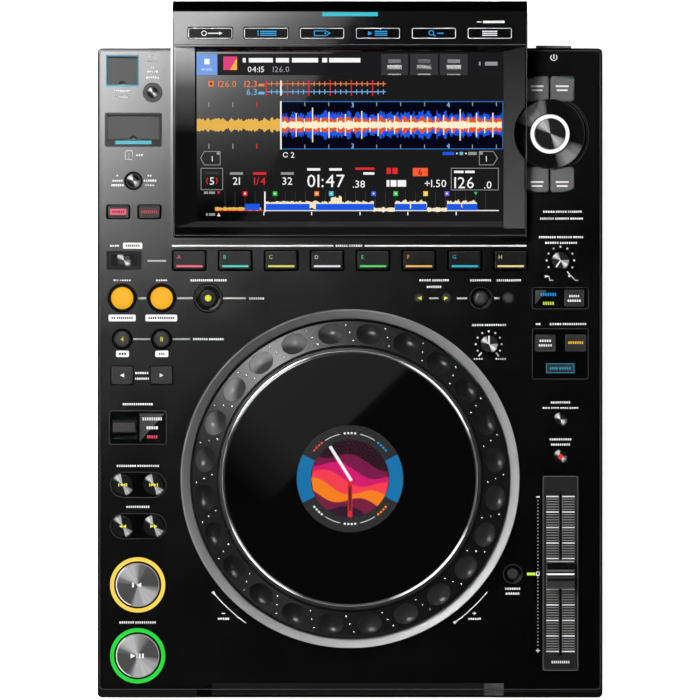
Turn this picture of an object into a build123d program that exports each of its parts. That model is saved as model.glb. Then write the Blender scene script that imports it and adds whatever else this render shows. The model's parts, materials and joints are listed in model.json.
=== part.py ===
"""Tabletop disc-jockey media player: a wide, flat case with a raised screen hood, a large jog wheel,
a tempo fader and fields of push keys, built as separate pieces. Millimetres, +Z up, +Y to the rear.
The origin is the centre of the overall footprint, on the surface that the feet stand on."""

from build123d import *
import math
import os

# ---------------------------------------------------------------- overall sizes
overall_depth = 453.0          # front of the case to the rear of the hood
overall_height = 118.0         # top edge of the hood
case_width = 329.0
case_depth = 423.2             # front of the case to its rear panel
deck_z = 68.0                  # working surface
foot_height = 8.0
wall = 3.0                     # case walls
deck_thickness = 3.0
floor_thickness = 2.5
seam_z = 36.0                  # where the top case meets the base tray
corner_radius = 3.0

front_y = -overall_depth / 2
rear_y = front_y + case_depth
hood_rear_y = overall_depth / 2
side_x = case_width / 2
deck_under_z = deck_z - deck_thickness
floor_top_z = foot_height + floor_thickness

# ---------------------------------------------------------------- clearances
key_gap = 0.35                 # key cap to its hole
stop_gap = 0.3                 # parts that stop against each other at rest
run_gap = 0.05                 # shaft in a bearing
seat_gap = 0.15                # piece dropped into a seat

# ---------------------------------------------------------------- columns and rows of controls
column_a = -side_x + 16.1      # outer left column of keys
column_b = -side_x + 41.8      # inner left column of keys
column_mid = (column_a + column_b) / 2
right_column = side_x - 27.4   # fader, knobs and tempo keys
row_usb = rear_y - 14.8
row_sd = rear_y - 53.2
row_time = rear_y - 86.5
row_slip = rear_y - 106.7
row_hot = front_y + 284.9
row_loop = front_y + 260.3
row_beat_loop = front_y + 233.6
row_beat_jump = front_y + 210.0
row_direction = front_y + 176.0
row_track = front_y + 138.7
row_search = front_y + 111.7
row_cue = front_y + 73.5
row_play = front_y + 27.3
row_jog_adjust = front_y + 230.3
row_speed = front_y + 284.6
row_mode = front_y + 260.3
row_sync = front_y + 231.1
row_key_sync = front_y + 214.6
row_tempo_range = front_y + 181.3
row_master = front_y + 157.2
row_fader = front_y + 80.6
row_selector = rear_y - 56.1

# ---------------------------------------------------------------- keys and what lies under them
key_travel = 1.0
pad_travel = 1.5
transport_travel = 1.5
flange_width = 1.5             # rim under the deck that keeps a key in
flange_thickness = 1.2
stem_radius = 2.0
board_thickness = 1.6
board_top_z = 50.0
switch_size = 6.0
switch_height = 3.5
bezel_height = 0.7             # trim rings and frames above the deck

# ---------------------------------------------------------------- round keys
loop_key_diameter = 13.8
reloop_key_diameter = 12.4
beat_key_diameter = 11.6
search_key_diameter = 14.0
transport_key_diameter = 28.6
transport_ring_outer = 36.0
transport_ring_inner = 30.8
transport_ring_height = 1.0
dome_key_diameter = 8.4
call_key_diameter = 6.6
delete_key_diameter = 9.4
reset_key_diameter = 7.2
usb_stop_diameter = 6.8

# ---------------------------------------------------------------- square keys
pad_width = 20.8
pad_length = 11.9
pad_pitch = 29.9
pad_count = 8
slip_width = 13.4
slip_length = 7.2
jump_width = 13.6
jump_length = 11.2
sync_width = 13.2
sync_length = 10.8
key_sync_width = 18.8
key_sync_length = 6.6
mode_width = 12.6
mode_length = 10.4
call_width = 8.6
call_length = 7.0

# ---------------------------------------------------------------- jog wheel
jog_y = front_y + 142.8
jog_ring_outer = 110.4
jog_ring_inner = 104.1
jog_ring_height = 5.0
jog_ring_fall = 2.2            # fall of the ring's top towards the wheel
jog_ring_edge = 0.5            # break of its edges
jog_radius = 103.2
jog_height = 10.0              # rim above the deck
jog_rim_inner = 86.9
jog_rim_wall = 3.0
jog_top_skin = 4.5
jog_web_z = 59.0               # underside of the wheel's web
jog_web_thickness = 3.0
dimple_count = 24
dimple_radius = 8.35           # along the rim
dimple_reach = 6.6             # across the rim
dimple_depth = 2.0
dimple_circle = 94.9
dot_radius = 0.8
dot_depth = 0.6
dot_pitch = 5.1
dot_slant = 1.5                # degrees between neighbouring dots
trim_inner = 81.9
trim_height = 2.4              # trim ring above the rim
trim_sink = 1.6                # foot of the trim ring below the rim's top
shelf_inner = 76.0             # shelf under the top plate
post_radius = 20.0
post_bore = 14.0
post_flange_radius = 32.0
post_flange_thickness = 3.0
hub_radius = 26.0
hub_length = 12.0
shoulder_radius = 23.0
display_radius = 35.5
display_thickness = 4.0
top_plate_thickness = 2.0
encoder_outer = 74.0
encoder_inner = 60.0
encoder_thickness = 1.0
encoder_slots = 60

# ---------------------------------------------------------------- hood and screen
hood_width = 230.0
hood_tilt = 14.0               # degrees, slope of the screen
hood_front_y = front_y + 299.5
hood_top_y = hood_rear_y - 6.5
hood_rear_drop = 21.5          # height of the rear face
hood_wall = 2.5
hood_roof = 8.5                # roof thickness round the screen
strip_roof = 3.0               # roof thickness at the row of keys
screen_width = 199.0
screen_length = 112.9
screen_depth = 4.0             # screen face below the hood's top plane
screen_centre_y = hood_front_y + 64.5
recess_width = 226.6
recess_length = 120.3
recess_shift = 0.8
glass_thickness = 2.0
glass_lip = 3.0
lcd_thickness = 6.0
menu_width = 29.0
menu_length = 7.6
menu_pitch = 36.2
menu_count = 6
menu_proud = 0.9
menu_offset = 69.9             # from the centre of the screen, along the slope
menu_post_radius = 1.7
light_bar_width = 36.0
light_bar_length = 2.4
light_bar_offset = 82.3
pod_gap = 0.9                  # hood to the browse keys and the selector's disc
plinth_margin = 1.7
plinth_height = 1.5

# ---------------------------------------------------------------- fader, knobs, levers
fader_travel = 50.0            # each way from the centre
fader_slot_width = 2.2
fader_slot_length = 106.0
fader_cap_width = 17.8
fader_cap_length = 18.9
fader_cap_height = 9.0
fader_plate_width = 23.2
fader_plate_length = 126.9
fader_plate_shift = 0.5
fader_stem_width = 1.6
fader_stem_length = 4.0
knob_diameter = 11.8
knob_height = 9.0
knob_shaft_radius = 3.0
selector_disc_diameter = 45.7
selector_disc_height = 6.0
selector_light_outer = 25.4
selector_light_inner = 20.6
selector_knob_diameter = 20.0
selector_knob_height = 16.0
selector_travel = 1.0
selector_bore = 6.0
selector_groove = 2.0          # depth of the light ring's groove
light_proud = 0.2
plate_thickness = 0.5          # legend plates and lit frames on the deck
lever_width = 15.1
lever_length = 6.9
lever_height = 8.0
lever_swing = 12.0
direction_width = 37.8
direction_length = 22.4

# ---------------------------------------------------------------- sockets, covers and the rear panel
usb_cover_width = 19.6
usb_cover_length = 18.6
sd_cover_width = 34.0
sd_cover_length = 16.2
sd_cover_shift = 1.7           # door to the rear of its frame's centre
cover_thickness = 2.0
cover_sink = 0.2               # top of a cover below the deck
cover_pin_radius = 0.6
cover_pin_length = 1.4
cover_stop_width = 8.0
cover_stop_length = 1.6
well_floor_z = 56.0
well_wall = 1.6
usb_slot_width = 12.6
usb_slot_length = 5.2
usb_slot_depth = 12.0
sd_slot_width = 24.6
sd_slot_length = 4.6
sd_slot_depth = 14.0
frame_width = 1.0              # lit frame round the two covers
rear_panel_width = 312.0
rear_panel_thickness = 2.0
rear_panel_low_z = 14.0
rear_panel_high_z = 62.0
power_x = side_x - 31.5
power_width = 18.0
power_height = 12.0
power_z = 42.0
power_travel = 2.0
power_proud = 2.2
power_guard = 2.6
inlet_x = side_x - 85.0
inlet_width = 28.0
inlet_height = 21.0
inlet_z = 36.0
inlet_depth = 24.0
inlet_cavity_width = 24.4
inlet_cavity_height = 16.4
inlet_cavity_depth = 16.0
inlet_flange = 1.5
pin_width = 2.0
pin_height = 4.0
pin_length = 12.0
pin_pitch = 14.0
pin_drop = 4.2                 # outer pins below the middle one
phono_x = -side_x + 58.0
phono_pitch = 14.0
phono_count = 3
phono_z = 38.0
phono_radius = 4.15
phono_bore = 1.7
phono_reach = 9.0
lan_x = -side_x + 104.0
lan_width = 11.9
lan_height = 8.2
usb_b_x = -side_x + 128.0
usb_b_width = 8.6
usb_b_height = 8.0
jack_wall = 1.5
jack_depth = 16.0
jack_z = 38.0

# ---------------------------------------------------------------- front bevel and feet
bevel_length = 5.9             # along Y, at the sides
bevel_drop = 4.0
bevel_mid_length = 9.8         # along Y, over the middle of the front
bevel_mid_drop = 8.0
bevel_mid_half = 88.0
bevel_turn = 11.6              # width of the slanting end of the middle bevel
foot_radius = 14.0
foot_inset_x = 30.0
foot_inset_front = 36.0
foot_inset_rear = 34.0
pillar_radius = 3.6
pillar_front_inset = 16.0
pillar_rear_inset = 34.0
screw_radius = 1.5
screw_head_radius = 2.8
screw_head_height = 1.6
screw_length = 12.0
screw_inset = 6.6
standoff_radius = 2.2

os.makedirs("parts", exist_ok=True)


def write(piece, node):
    """Labels a finished piece and writes it as its own file."""
    piece.label = node
    export_step(piece, f"parts/{node}.step")


class Shape:
    """Outline of a key: round when it has no length, otherwise a rectangle with rounded corners."""

    def __init__(self, width, length=None, corner=1.0):
        self.width = width
        self.length = length
        self.corner = corner

    def draw(self, margin=0.0):
        """Adds the outline, grown by the margin, to the sketch that is open."""
        if self.length is None:
            Circle(self.width / 2 + margin)
        else:
            RectangleRounded(self.width + 2 * margin, self.length + 2 * margin, self.corner + margin)


class KeySet:
    """Keys of one outline that share a node: where they stand, how proud they are and how far they go."""

    def __init__(self, shape, spots, proud, travel=key_travel, edge=0.5, rim=flange_width):
        self.shape = shape
        self.spots = spots
        self.proud = proud
        self.travel = travel
        self.edge = edge
        self.rim = rim


round_search = Shape(search_key_diameter)
search_spots = [(x, y) for y in (row_track, row_search) for x in (column_a + 0.3, column_b - 5.1)]
pad_x = [(i - (pad_count - 1) / 2) * pad_pitch for i in range(pad_count)]
slip_x = (column_a - 2.6, column_b - 8.0)
direction_x = column_mid - 2.7
lever_x = direction_x - direction_width / 2 + 10.2
mode_x = right_column + 8.9
mode_centre_x = right_column - 0.1
sync_x = (right_column - 9.9, right_column + 9.9)
call_x = column_a + 1.2
cue_x = column_a + 10.1
memory_x = (right_column - 92.1, right_column - 74.2, right_column - 51.9, right_column - 33.9)
selector_x = right_column - 6.9
reset_x = right_column - 31.0
jog_adjust_x = right_column - 46.4
usb_stop_x = column_b - 5.9
usb_x = column_a + 0.1
sd_x = column_a + 7.3
time_x = column_a + 7.3

# Browse keys round the selector: four quarters of a long pill, cut back round the selector's disc.
browse_width = 15.2
browse_reach_near = 21.5
browse_reach_far = 37.6
browse_gap = 1.2
browse_bow = 0.7               # bulge of the far ends past their straight reach
browse_centre_x = selector_x - 0.2
browse_length = browse_reach_far - browse_reach_near
browse_x = (browse_width + browse_gap) / 2
browse_y = (browse_reach_near + browse_reach_far) / 2
browse_spots = [
    (browse_centre_x + i * browse_x, row_selector + j * browse_y) for j in (1, -1) for i in (-1, 1)
]

key_sets = {
    "cue_button": [KeySet(Shape(transport_key_diameter), [(cue_x, row_cue)], 3.0, transport_travel, 0.7)],
    "play_button": [KeySet(Shape(transport_key_diameter), [(cue_x, row_play)], 3.0, transport_travel, 0.7)],
    "loop_in_button": [KeySet(Shape(loop_key_diameter), [(column_a, row_loop)], 2.6, key_travel, 1.6)],
    "loop_out_button": [KeySet(Shape(loop_key_diameter), [(column_b, row_loop)], 2.6, key_travel, 1.6)],
    "reloop_button": [KeySet(Shape(reloop_key_diameter), [(column_b + 30.3, row_loop)], 2.4, key_travel, 1.4)],
    "beat_keys": [
        KeySet(Shape(beat_key_diameter), [(column_a, row_beat_loop), (column_b, row_beat_loop)], 2.4, key_travel, 1.6),
        KeySet(Shape(jump_width, jump_length), [(column_a, row_beat_jump), (column_b, row_beat_jump)], 1.8),
    ],
    "search_keys": [KeySet(round_search, search_spots, 2.4, key_travel, 0.8)],
    "slip_quantize_keys": [KeySet(Shape(slip_width, slip_length), [(x, row_slip) for x in slip_x], 1.5)],
    "hot_cue_call_button": [KeySet(Shape(call_width, call_length, 0.8), [(call_x, row_hot)], 2.2, key_travel, 0.9)],
    "usb_stop_button": [KeySet(Shape(usb_stop_diameter), [(usb_stop_x, row_usb - 14.2)], 2.6, key_travel, 2.2)],
    "time_mode_button": [KeySet(Shape(dome_key_diameter), [(time_x, row_time)], 2.8, key_travel, 2.4)],
    "jog_mode_button": [KeySet(Shape(mode_width, mode_length, 0.8), [(mode_x, row_mode)], 1.5)],
    "sync_keys": [
        KeySet(Shape(sync_width, sync_length, 0.8), [(x, row_sync) for x in sync_x], 1.8),
        KeySet(Shape(key_sync_width, key_sync_length, 0.8), [(mode_centre_x, row_key_sync)], 1.8),
    ],
    "memory_keys": [
        KeySet(Shape(call_key_diameter), [(x, row_loop) for x in memory_x[:2]], 2.4, key_travel, 1.8),
        KeySet(Shape(delete_key_diameter), [(memory_x[2], row_loop)], 2.6, key_travel, 2.2),
        KeySet(Shape(call_key_diameter + 1.0), [(memory_x[3], row_loop)], 2.4, key_travel, 2.0),
    ],
    "tempo_keys": [
        KeySet(
            Shape(dome_key_diameter), [(right_column, y) for y in (row_tempo_range, row_master)], 2.4, key_travel, 2.0
        ),
        KeySet(Shape(reset_key_diameter), [(reset_x, row_fader)], 2.0, key_travel, 1.6),
    ],
    "browse_keys": [KeySet(Shape(browse_width, browse_length, 2.0), browse_spots, 1.6, rim=browse_gap / 4)],
}
for i, x in enumerate(pad_x):
    key_sets[f"hot_cue_button_{i + 1}"] = [KeySet(Shape(pad_width, pad_length), [(x, row_hot)], 1.6, pad_travel)]


def make_keys(sets, top_z, under_z, foot_z, within=None):
    """One node of keys: cap, retaining rim and stem of each key of its sets."""
    rim_top = under_z - stop_gap
    with BuildPart() as made:
        for keys in sets:
            with BuildSketch(Plane.XY.offset(rim_top)):
                with Locations(*keys.spots):
                    keys.shape.draw()
            cap = extrude(amount=top_z + keys.proud - rim_top)
            fillet(cap.edges().group_by(Axis.Z)[-1], keys.edge)
            with BuildSketch(Plane.XY.offset(rim_top - flange_thickness)):
                with Locations(*keys.spots):
                    keys.shape.draw(keys.rim)
            extrude(amount=flange_thickness)
            stem_foot = foot_z + keys.travel + stop_gap
            with BuildSketch(Plane.XY.offset(stem_foot)):
                with Locations(*keys.spots):
                    Circle(stem_radius)
            extrude(amount=rim_top - flange_thickness - stem_foot)
        if within is not None:
            add(within, mode=Mode.INTERSECT)
    return made.part


switch_top_z = board_top_z + switch_height
# The browse keys stop short of the selector's disc, and their far ends follow a circle round it.
with BuildPart() as browse_ring:
    with BuildSketch(Plane.XY.offset(board_top_z)):
        with Locations((selector_x, row_selector)):
            Circle(browse_reach_far + browse_bow)
            Circle(selector_disc_diameter / 2 + key_gap, mode=Mode.SUBTRACT)
    extrude(amount=deck_z - board_top_z + selector_disc_height)

for node, sets in key_sets.items():
    within = browse_ring.part if node == "browse_keys" else None
    write(make_keys(sets, deck_z, deck_under_z, switch_top_z, within), node)

# ---------------------------------------------------------------- boards under the deck
board_left = -side_x + 10.5
board_right = side_x - 10.5
board_front = front_y + 12.0
jog_back_y = jog_y + jog_ring_outer
boards = {                     # left, right, front and rear edges
    "left": (board_left, -jog_ring_outer + 2.0, board_front, jog_back_y - 12.8),
    "right": (encoder_inner + 2.0, board_right, board_front, jog_back_y - 12.8),
    "pads": (board_left, right_column + 9.0, jog_back_y - 1.0, row_hot + 9.6),
    "slip": (board_left, column_b + 3.3, row_slip - 6.0, row_time + 7.8),
    "stop": (usb_stop_x - 6.6, usb_stop_x + 8.0, row_usb - 22.0, row_usb - 4.0),
    "browse": (selector_x - 24.0, selector_x + 20.0, row_selector - 42.0, row_selector + 42.0),
}
pad_gap_x = [i * pad_pitch for i in (-2, 0, 2)]
standoffs = [
    *[(cue_x, y) for y in (row_play + 23.1, row_cue + 23.0, row_track + 16.8, row_beat_jump - 15.5)],
    (column_mid, row_beat_jump + 11.7),
    *[(reset_x + 12.0, y) for y in (board_front + 9.5, row_fader + 26.0, row_tempo_range + 15.0)],
    *[(board_right - 3.5, y) for y in (board_front + 9.5, row_master - 5.7)],
    *[(x, row_hot) for x in pad_gap_x],
    *[(x, jog_back_y + 4.0) for x in pad_gap_x[:2]],
    (right_column - 15.1, row_hot),
    (column_a + 24.4, row_hot),
    *[(x, row_slip + 11.0) for x in (slip_x[0], slip_x[1] + 2.8)],
    (usb_stop_x - 4.3, row_usb - 6.2),
    *[(selector_x + dx, row_selector) for dx in (-14.2, 14.8)],
]

# ---------------------------------------------------------------- case: top case
case_centre_y = (front_y + rear_y) / 2
seat_radius = (jog_ring_outer + jog_ring_inner) / 2
hood_rear_foot_y = rear_y - hood_wall
lever_axis_z = deck_z - 7.0
lever_drum_radius = 5.4
lever_pin_radius = 1.5
lever_pin_length = 3.0
ear_thickness = 2.4
ear_gap = 0.3
lever_slot_length = 15.0
hinge_inset = cover_thickness / 2 + key_gap
usb_axis_y = row_usb + usb_cover_length / 2 - hinge_inset
sd_axis_y = row_sd + sd_cover_shift + sd_cover_length / 2 - hinge_inset
cover_axis_z = deck_z - cover_sink - cover_thickness / 2
cover_low_z = cover_axis_z - cover_thickness / 2
pillar_x = side_x - wall - pillar_radius + 0.2
pillar_spots = [
    (i * pillar_x, y)
    for i in (-1, 1)
    for y in (front_y + pillar_front_inset, front_y + 150.0, front_y + 300.0, rear_y - pillar_rear_inset)
]

bevel_sections = [
    (-side_x - 1, bevel_length, bevel_drop),
    (-bevel_mid_half - bevel_turn, bevel_length, bevel_drop),
    (-bevel_mid_half, bevel_mid_length, bevel_mid_drop),
    (bevel_mid_half, bevel_mid_length, bevel_mid_drop),
    (bevel_mid_half + bevel_turn, bevel_length, bevel_drop),
    (side_x + 1, bevel_length, bevel_drop),
]
over = 0.2                     # share by which a cutter passes the surfaces that it cuts
with BuildPart() as front_bevel:
    for x, length, drop in bevel_sections:
        with BuildSketch(Plane.YZ.offset(x)):
            with BuildLine():
                Polyline(
                    (front_y + (1 + over) * length, deck_z + over * drop),
                    (front_y - over * length, deck_z - (1 + over) * drop),
                    (front_y - over * length, deck_z + over * drop),
                    close=True,
                )
            make_face()
    loft(ruled=True)

bevel_slope = bevel_mid_drop / bevel_mid_length
bevel_skin = wall / math.sin(math.atan(bevel_slope))


def inner_bevel_y(z):
    """Y of the inner face behind the middle bevel, at a height."""
    return front_y + (z - deck_z + bevel_mid_drop) / bevel_slope + bevel_skin


def inner_bevel_z(y):
    """Height of the inner face behind the middle bevel, at a Y."""
    return deck_z - bevel_mid_drop + (y - front_y - bevel_skin) * bevel_slope


with BuildPart() as top_case:
    with BuildSketch(Plane.XY.offset(seam_z)):
        with Locations((0, case_centre_y)):
            RectangleRounded(case_width, case_depth, corner_radius)
    extrude(amount=deck_z - seam_z)
    fillet(top_case.edges().group_by(Axis.Z)[-1], 0.8)
    add(front_bevel.part, mode=Mode.SUBTRACT)
    with BuildSketch(Plane.YZ.offset(-side_x + wall)):
        with BuildLine():
            Polyline(
                (front_y + wall, seam_z),
                (front_y + wall, inner_bevel_z(front_y + wall)),
                (inner_bevel_y(deck_under_z), deck_under_z),
                (rear_y - wall, deck_under_z),
                (rear_y - wall, seam_z),
                close=True,
            )
        make_face()
    extrude(amount=case_width - 2 * wall, mode=Mode.SUBTRACT)
    # opening for the rear panel
    with Locations((0, rear_y, seam_z)):
        Box(
            rear_panel_width + 2 * seat_gap,
            4 * wall,
            rear_panel_high_z + seat_gap - seam_z,
            align=(Align.CENTER, Align.CENTER, Align.MIN),
            mode=Mode.SUBTRACT,
        )
    # screw pillars and board standoffs
    with BuildSketch(Plane.XY.offset(seam_z)):
        with Locations(*pillar_spots):
            Circle(pillar_radius)
    extrude(amount=deck_under_z - seam_z)
    with BuildSketch(Plane.XY.offset(board_top_z)):
        with Locations(*standoffs):
            Circle(standoff_radius)
    extrude(amount=deck_under_z - board_top_z)
    # round openings: jog wheel, selector and knobs
    with BuildSketch(Plane.XY.offset(deck_z)):
        with Locations((0, jog_y)):
            Circle(seat_radius)
        with Locations((selector_x, row_selector)):
            Circle(selector_bore)
        with Locations((right_column, row_speed), (jog_adjust_x, row_jog_adjust)):
            Circle(knob_shaft_radius + key_gap)
        with Locations((right_column, row_fader)):
            RectangleRounded(fader_slot_width, fader_slot_length, fader_slot_width / 2 - 0.01)
        with Locations((lever_x, row_direction)):
            Rectangle(lever_width + 1.4, lever_slot_length)
        with Locations((usb_x, row_usb)):
            Rectangle(usb_cover_width, usb_cover_length)
        with Locations((sd_x, row_sd + sd_cover_shift)):
            Rectangle(sd_cover_width, sd_cover_length)
    extrude(amount=-deck_thickness, mode=Mode.SUBTRACT)
    # keys
    for sets in key_sets.values():
        for keys in sets:
            with BuildSketch(Plane.XY.offset(deck_z)):
                with Locations(*keys.spots):
                    keys.shape.draw(key_gap)
            extrude(amount=-deck_thickness, mode=Mode.SUBTRACT)
    # window under the hood, for the screen's cables
    with BuildSketch(Plane.XY.offset(deck_z)):
        with Locations((0, (hood_front_y + hood_rear_foot_y) / 2)):
            RectangleRounded(hood_width - 60, hood_rear_foot_y - hood_front_y - 40, 6)
    extrude(amount=-deck_thickness, mode=Mode.SUBTRACT)
    # pin holes of the two covers
    pin_hole = cover_pin_radius + run_gap
    for x, y, width in ((usb_x, usb_axis_y, usb_cover_width), (sd_x, sd_axis_y, sd_cover_width)):
        with Locations((x, y, cover_axis_z)):
            Cylinder(pin_hole, width + 2 * cover_pin_length, rotation=(0, 90, 0), mode=Mode.SUBTRACT)
    # ears that carry the direction lever
    for side in (-1, 1):
        ear_x = lever_x + side * (lever_width / 2 + ear_gap + ear_thickness / 2)
        with Locations((ear_x, row_direction, deck_under_z)):
            Box(ear_thickness, 9, 8.5, align=(Align.CENTER, Align.CENTER, Align.MAX))
        with Locations((ear_x, row_direction, lever_axis_z)):
            Cylinder(lever_pin_radius + run_gap, 2 * ear_thickness, rotation=(0, 90, 0), mode=Mode.SUBTRACT)
write(top_case.part, "top_case")

# ---------------------------------------------------------------- case: base tray
feet_spots = [
    (i * (side_x - foot_inset_x), y) for i in (-1, 1) for y in (front_y + foot_inset_front, rear_y - foot_inset_rear)
]
main_board_z = 16.0
main_board_spots = [(x, y) for x in (-130.0, 20.0) for y in (rear_y - 115.0, rear_y - 35.0)]
supply_spots = [(x, y) for x in (42.0, 138.0) for y in (rear_y - 115.0, rear_y - 45.0)]
post_screw_circle = post_radius + 6.5

with BuildPart() as base_tray:
    with BuildSketch(Plane.XY.offset(foot_height)):
        with Locations((0, case_centre_y)):
            RectangleRounded(case_width, case_depth, corner_radius)
    extrude(amount=seam_z - foot_height)
    chamfer(base_tray.edges().group_by(Axis.Z)[0], 1.5)
    with BuildSketch(Plane.XY.offset(floor_top_z)):
        with Locations((0, case_centre_y)):
            Rectangle(case_width - 2 * wall, case_depth - 2 * wall)
    extrude(amount=seam_z - floor_top_z, mode=Mode.SUBTRACT)
    with Locations((0, rear_y, rear_panel_low_z - seat_gap)):
        Box(
            rear_panel_width + 2 * seat_gap,
            4 * wall,
            seam_z,
            align=(Align.CENTER, Align.CENTER, Align.MIN),
            mode=Mode.SUBTRACT,
        )
    with BuildSketch(Plane.XY.offset(floor_top_z)):
        with Locations(*pillar_spots):
            Circle(pillar_radius)
    extrude(amount=seam_z - floor_top_z)
    with BuildSketch(Plane.XY.offset(floor_top_z)):
        with Locations(*main_board_spots, *supply_spots):
            Circle(standoff_radius + 0.8)
    extrude(amount=main_board_z - floor_top_z)
    # screw holes through the floor and up the pillars
    screw_depth = screw_length + screw_head_height
    for hole_radius, depth in ((screw_radius + run_gap, screw_depth + 1), (screw_head_radius + seat_gap, screw_head_height)):
        with BuildSketch(Plane.XY.offset(foot_height)):
            with Locations(*pillar_spots):
                Circle(hole_radius)
        extrude(amount=depth, mode=Mode.SUBTRACT)
    # seats of the feet
    with BuildSketch(Plane.XY.offset(foot_height)):
        with Locations(*feet_spots):
            Circle(foot_radius / 3 + seat_gap)
    extrude(amount=floor_thickness, mode=Mode.SUBTRACT)
    # cooling slots in the floor
    with BuildSketch(Plane.XY.offset(foot_height)):
        with Locations((90, rear_y - 80), (-60, rear_y - 80)):
            with GridLocations(8, 1, 6, 1):
                SlotOverall(40, 3, rotation=90)
    extrude(amount=floor_thickness, mode=Mode.SUBTRACT)
write(base_tray.part, "base_tray")

with BuildPart() as feet:
    with BuildSketch():
        with Locations(*feet_spots):
            Circle(foot_radius)
    extrude(amount=foot_height)
    fillet(feet.edges().group_by(Axis.Z)[0], 1.5)
    with BuildSketch(Plane.XY.offset(foot_height)):
        with Locations(*feet_spots):
            Circle(foot_radius / 3)
    extrude(amount=floor_thickness)
write(feet.part, "rubber_feet")

with BuildPart() as screws:
    with BuildSketch(Plane.XY.offset(foot_height)):
        with Locations(*pillar_spots):
            Circle(screw_head_radius)
    extrude(amount=screw_head_height)
    with BuildSketch(Plane.XY.offset(foot_height + screw_head_height)):
        with Locations(*pillar_spots):
            Circle(screw_radius)
    extrude(amount=screw_length)
    with BuildSketch(Plane.XY.offset(foot_height)):
        with Locations(*pillar_spots):
            Rectangle(3.2, 0.7)
            Rectangle(0.7, 3.2)
    extrude(amount=1.0, mode=Mode.SUBTRACT)
write(screws.part, "case_screws")

# ---------------------------------------------------------------- control boards with their switches and pots
pot_size = 11.0
pot_height = 7.0
pot_floor = 2.0
knob_shaft_foot = board_top_z + pot_floor + stop_gap
sensor_radius = (encoder_inner + encoder_outer) / 2
sensor_size = 5.0
encoder_z = jog_web_z - encoder_thickness
hood_slope = math.tan(math.radians(hood_tilt))
screen_centre_z = overall_height - (hood_top_y - screen_centre_y) * hood_slope
hood_plane = Plane(
    origin=(0, screen_centre_y, screen_centre_z),
    x_dir=(1, 0, 0),
    z_dir=(0, -math.sin(math.radians(hood_tilt)), math.cos(math.radians(hood_tilt))),
)
menu_x = [(i - (menu_count - 1) / 2) * menu_pitch for i in range(menu_count)]
menu_board_drop = strip_roof + 8.0
menu_board_margin = 4.0
switch_spots = [spot for sets in key_sets.values() for keys in sets for spot in keys.spots]

with BuildPart() as control_boards:
    for left, right, front, rear in boards.values():
        with BuildSketch(Plane.XY.offset(board_top_z - board_thickness)):
            with Locations(((left + right) / 2, (front + rear) / 2)):
                Rectangle(right - left, rear - front)
        extrude(amount=board_thickness)
    with BuildSketch(Plane.XY.offset(board_top_z)):
        with Locations(*switch_spots):
            Rectangle(switch_size, switch_size)
    extrude(amount=switch_height)
    with BuildSketch(Plane.XY.offset(board_top_z)):
        with Locations((right_column, row_speed), (jog_adjust_x, row_jog_adjust), (selector_x, row_selector)):
            Rectangle(pot_size, pot_size)
    extrude(amount=pot_height)
    with BuildSketch(Plane.XY.offset(board_top_z + pot_floor)):
        with Locations((right_column, row_speed), (jog_adjust_x, row_jog_adjust), (selector_x, row_selector)):
            Circle(knob_shaft_radius + run_gap)
    extrude(amount=pot_height, mode=Mode.SUBTRACT)
    # reflective sensor that reads the encoder disc under the jog wheel
    with BuildSketch(Plane.XY.offset(board_top_z)):
        with Locations((sensor_radius, jog_y)):
            Rectangle(sensor_size, sensor_size)
    extrude(amount=encoder_z - 1.0 - board_top_z)
    # board under the hood's row of keys
    with BuildSketch(hood_plane.offset(-menu_board_drop - board_thickness)):
        with Locations((0, menu_offset)):
            Rectangle(menu_pitch * (menu_count - 1) + menu_width + menu_board_margin, menu_length + 2 * menu_board_margin)
    extrude(amount=board_thickness)
    with BuildSketch(hood_plane.offset(-menu_board_drop)):
        with Locations(*[(x, menu_offset) for x in menu_x]):
            Rectangle(switch_size, switch_size)
    extrude(amount=switch_height)
write(control_boards.part, "control_boards")

# ---------------------------------------------------------------- hinged covers and their wells


def hinged_cover(x, y, width, length, axis_y, notch_radius):
    """A flap whose rear edge is rounded about its pins, with a finger notch at its front edge."""
    flap_width = width - 2 * key_gap
    with BuildPart() as flap:
        with BuildSketch(Plane.YZ.offset(x - flap_width / 2)):
            with BuildLine():
                front = y - length / 2 + key_gap
                low = cover_axis_z - cover_thickness / 2
                high = cover_axis_z + cover_thickness / 2
                Line((front, low), (front, high))
                Line((front, high), (axis_y, high))
                ThreePointArc((axis_y, high), (axis_y + cover_thickness / 2, cover_axis_z), (axis_y, low))
                Line((axis_y, low), (front, low))
            make_face()
        extrude(amount=flap_width)
        with Locations((x, axis_y, cover_axis_z)):
            Cylinder(cover_pin_radius, width + 2 * cover_pin_length - 2 * run_gap, rotation=(0, 90, 0))
        with Locations((x, y - length / 2 + key_gap, cover_axis_z + cover_thickness * 0.7)):
            Sphere(notch_radius, mode=Mode.SUBTRACT)
    return flap.part


write(hinged_cover(usb_x, row_usb, usb_cover_width, usb_cover_length, usb_axis_y, 2.4), "usb_cover")
sd_cover_y = row_sd + sd_cover_shift
write(hinged_cover(sd_x, sd_cover_y, sd_cover_width, sd_cover_length, sd_axis_y, 2.4), "sd_cover")

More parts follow.
